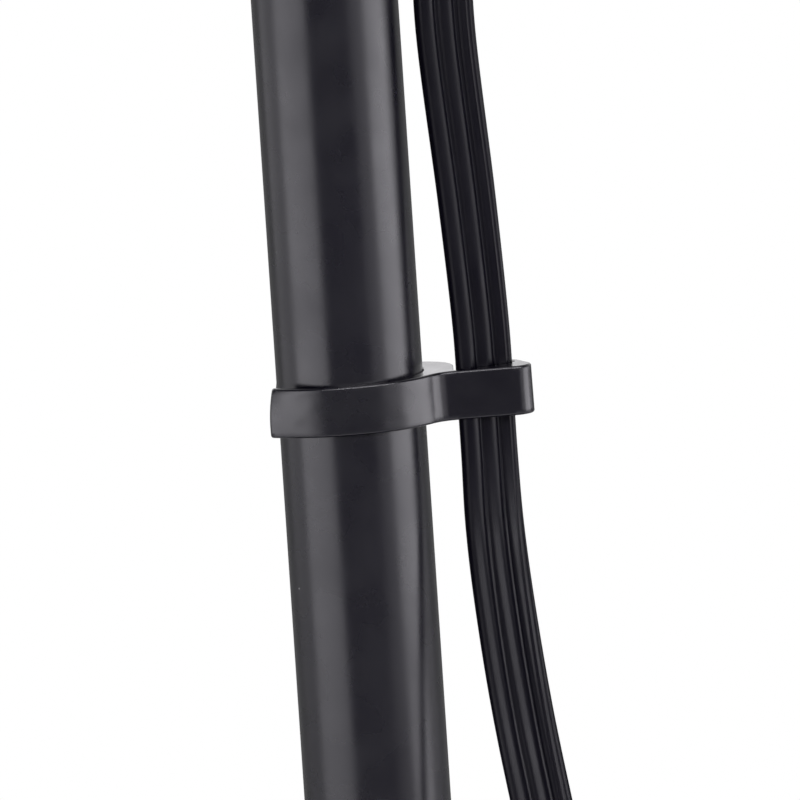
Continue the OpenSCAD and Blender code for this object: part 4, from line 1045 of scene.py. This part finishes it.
@dataclass
class Mast:
    """The inner pole and the control box with its knobs, with sizes in millimetres.

    Each dial dot has its turn from the top in degrees, and its radius.
    """

    dial_z: float = 719.0
    dial_y: float = -32.0
    dial_ring: float = 22.5
    dots: tuple[Pair, ...] = ((0, 0.8), (45, 1.2), (90, 1.6), (135, 2.0))
    dot_rise: float = 0.5
    knob_y: float = -49.6
    knob_dot_up: float = 11.0
    knob_dot_r: float = 1.3
    knob_dot_rise: float = 0.4

    def dial_dots(self, bm: Mesh) -> None:
        """Adds the dots round the speed knob, larger for each higher speed.

        Args:
            bm: The control panel's mesh.
        """
        for turn, radius in self.dots:
            angle = math.radians(turn)
            place = (self.dial_ring * math.sin(angle), self.dial_y,
                     self.dial_z + self.dial_ring * math.cos(angle))
            add_dot(bm, place, radius, self.dot_rise)

    def knob_dot(self, bm: Mesh) -> None:
        """Adds the dot at the end of the speed knob's grip that points at a speed.

        Args:
            bm: The speed knob's mesh.
        """
        place = (0, self.knob_y, self.dial_z + self.knob_dot_up)
        add_dot(bm, place, self.knob_dot_r, self.knob_dot_rise)

    def build(self) -> None:
        """Dresses the mast."""
        finished_copies(
            ("inner_pole", MAST_CHROME, 0.2),
            ("mast_guide", BUSH_NYLON, 0.3),
            ("control_box", BLACK_PLASTIC, 0.6),
        )
        finished_copy("control_panel", PANEL_PLASTIC, 0.6, marks=self.dial_dots)
        finished_copies(
            ("panel_screws", FASTENER_STEEL, 0.2),
            ("speed_switch", SWITCH_PLASTIC, 0.4),
        )
        finished_copy("speed_knob", BLACK_PLASTIC, 0.6, marks=self.knob_dot)
        finished_copies(
            ("run_capacitor", CAPACITOR_CASE, 0.8),
            ("lead_gland", BLACK_PLASTIC, 0.4),
            ("tilt_bolt", FASTENER_STEEL, 0.4),
            ("tilt_knob", BLACK_PLASTIC, 0.8),
        )


@dataclass
class Head:
    """The tilt neck, the motor in its shell, the guards and the blades."""

    blade_sharp: float = 40.0

    def build(self) -> None:
        """Dresses the head."""
        finished_copies(
            ("tilt_neck", BLACK_PLASTIC, 0.6),
            ("swivel_post", FASTENER_STEEL, 0.4),
            ("swivel_washer", BUSH_NYLON, 0.1),
            ("gearbox", MOTOR_ALLOY, 0.6),
            ("oscillation_knob", BLACK_PLASTIC, 0.6),
            ("rear_bracket", MOTOR_ALLOY, 0.4),
            ("front_bracket", MOTOR_ALLOY, 0.4),
            ("stator_core", CORE_STEEL, 0.2),
            ("stator_windings", COPPER, 0.0),
            ("rear_bearing", BRONZE, 0.2),
            ("front_bearing", BRONZE, 0.2),
            ("motor_screws", FASTENER_STEEL, 0.2),
            ("motor_shell", BLACK_PLASTIC, 0.4),
            ("guard_plate", BLACK_PLASTIC, 0.5),
            ("guard_nut", BLACK_PLASTIC, 0.6),
            ("rear_guard", GUARD_COAT, 0.0),
            ("front_guard", GUARD_COAT, 0.0),
            ("rim_clips", BLACK_PLASTIC, 0.3),
            ("centre_badge", PANEL_PLASTIC, 0.8),
            ("rotor", CORE_STEEL, 0.3),
            ("motor_shaft", FASTENER_STEEL, 0.2),
            ("drive_pin", FASTENER_STEEL, 0.2),
        )
        finished_copy("fan_blades", BLADE_PLASTIC, sharp=self.blade_sharp)
        finished_copy("spinner", BLACK_PLASTIC, 0.5)


def main() -> None:
    """Builds the scene: camera and lead first, then the other sub-assemblies and the light."""
    logging.basicConfig(level=logging.INFO, format="%(name)s: %(message)s")
    studio = Studio()
    studio.camera()
    for part in (LeadEnd(), MainsLead(), Stand(), Mast(), Head()):
        part.build()
        LOG.info("%s is done", type(part).__name__)
    studio.light()


if __name__ == "__main__":
    main()
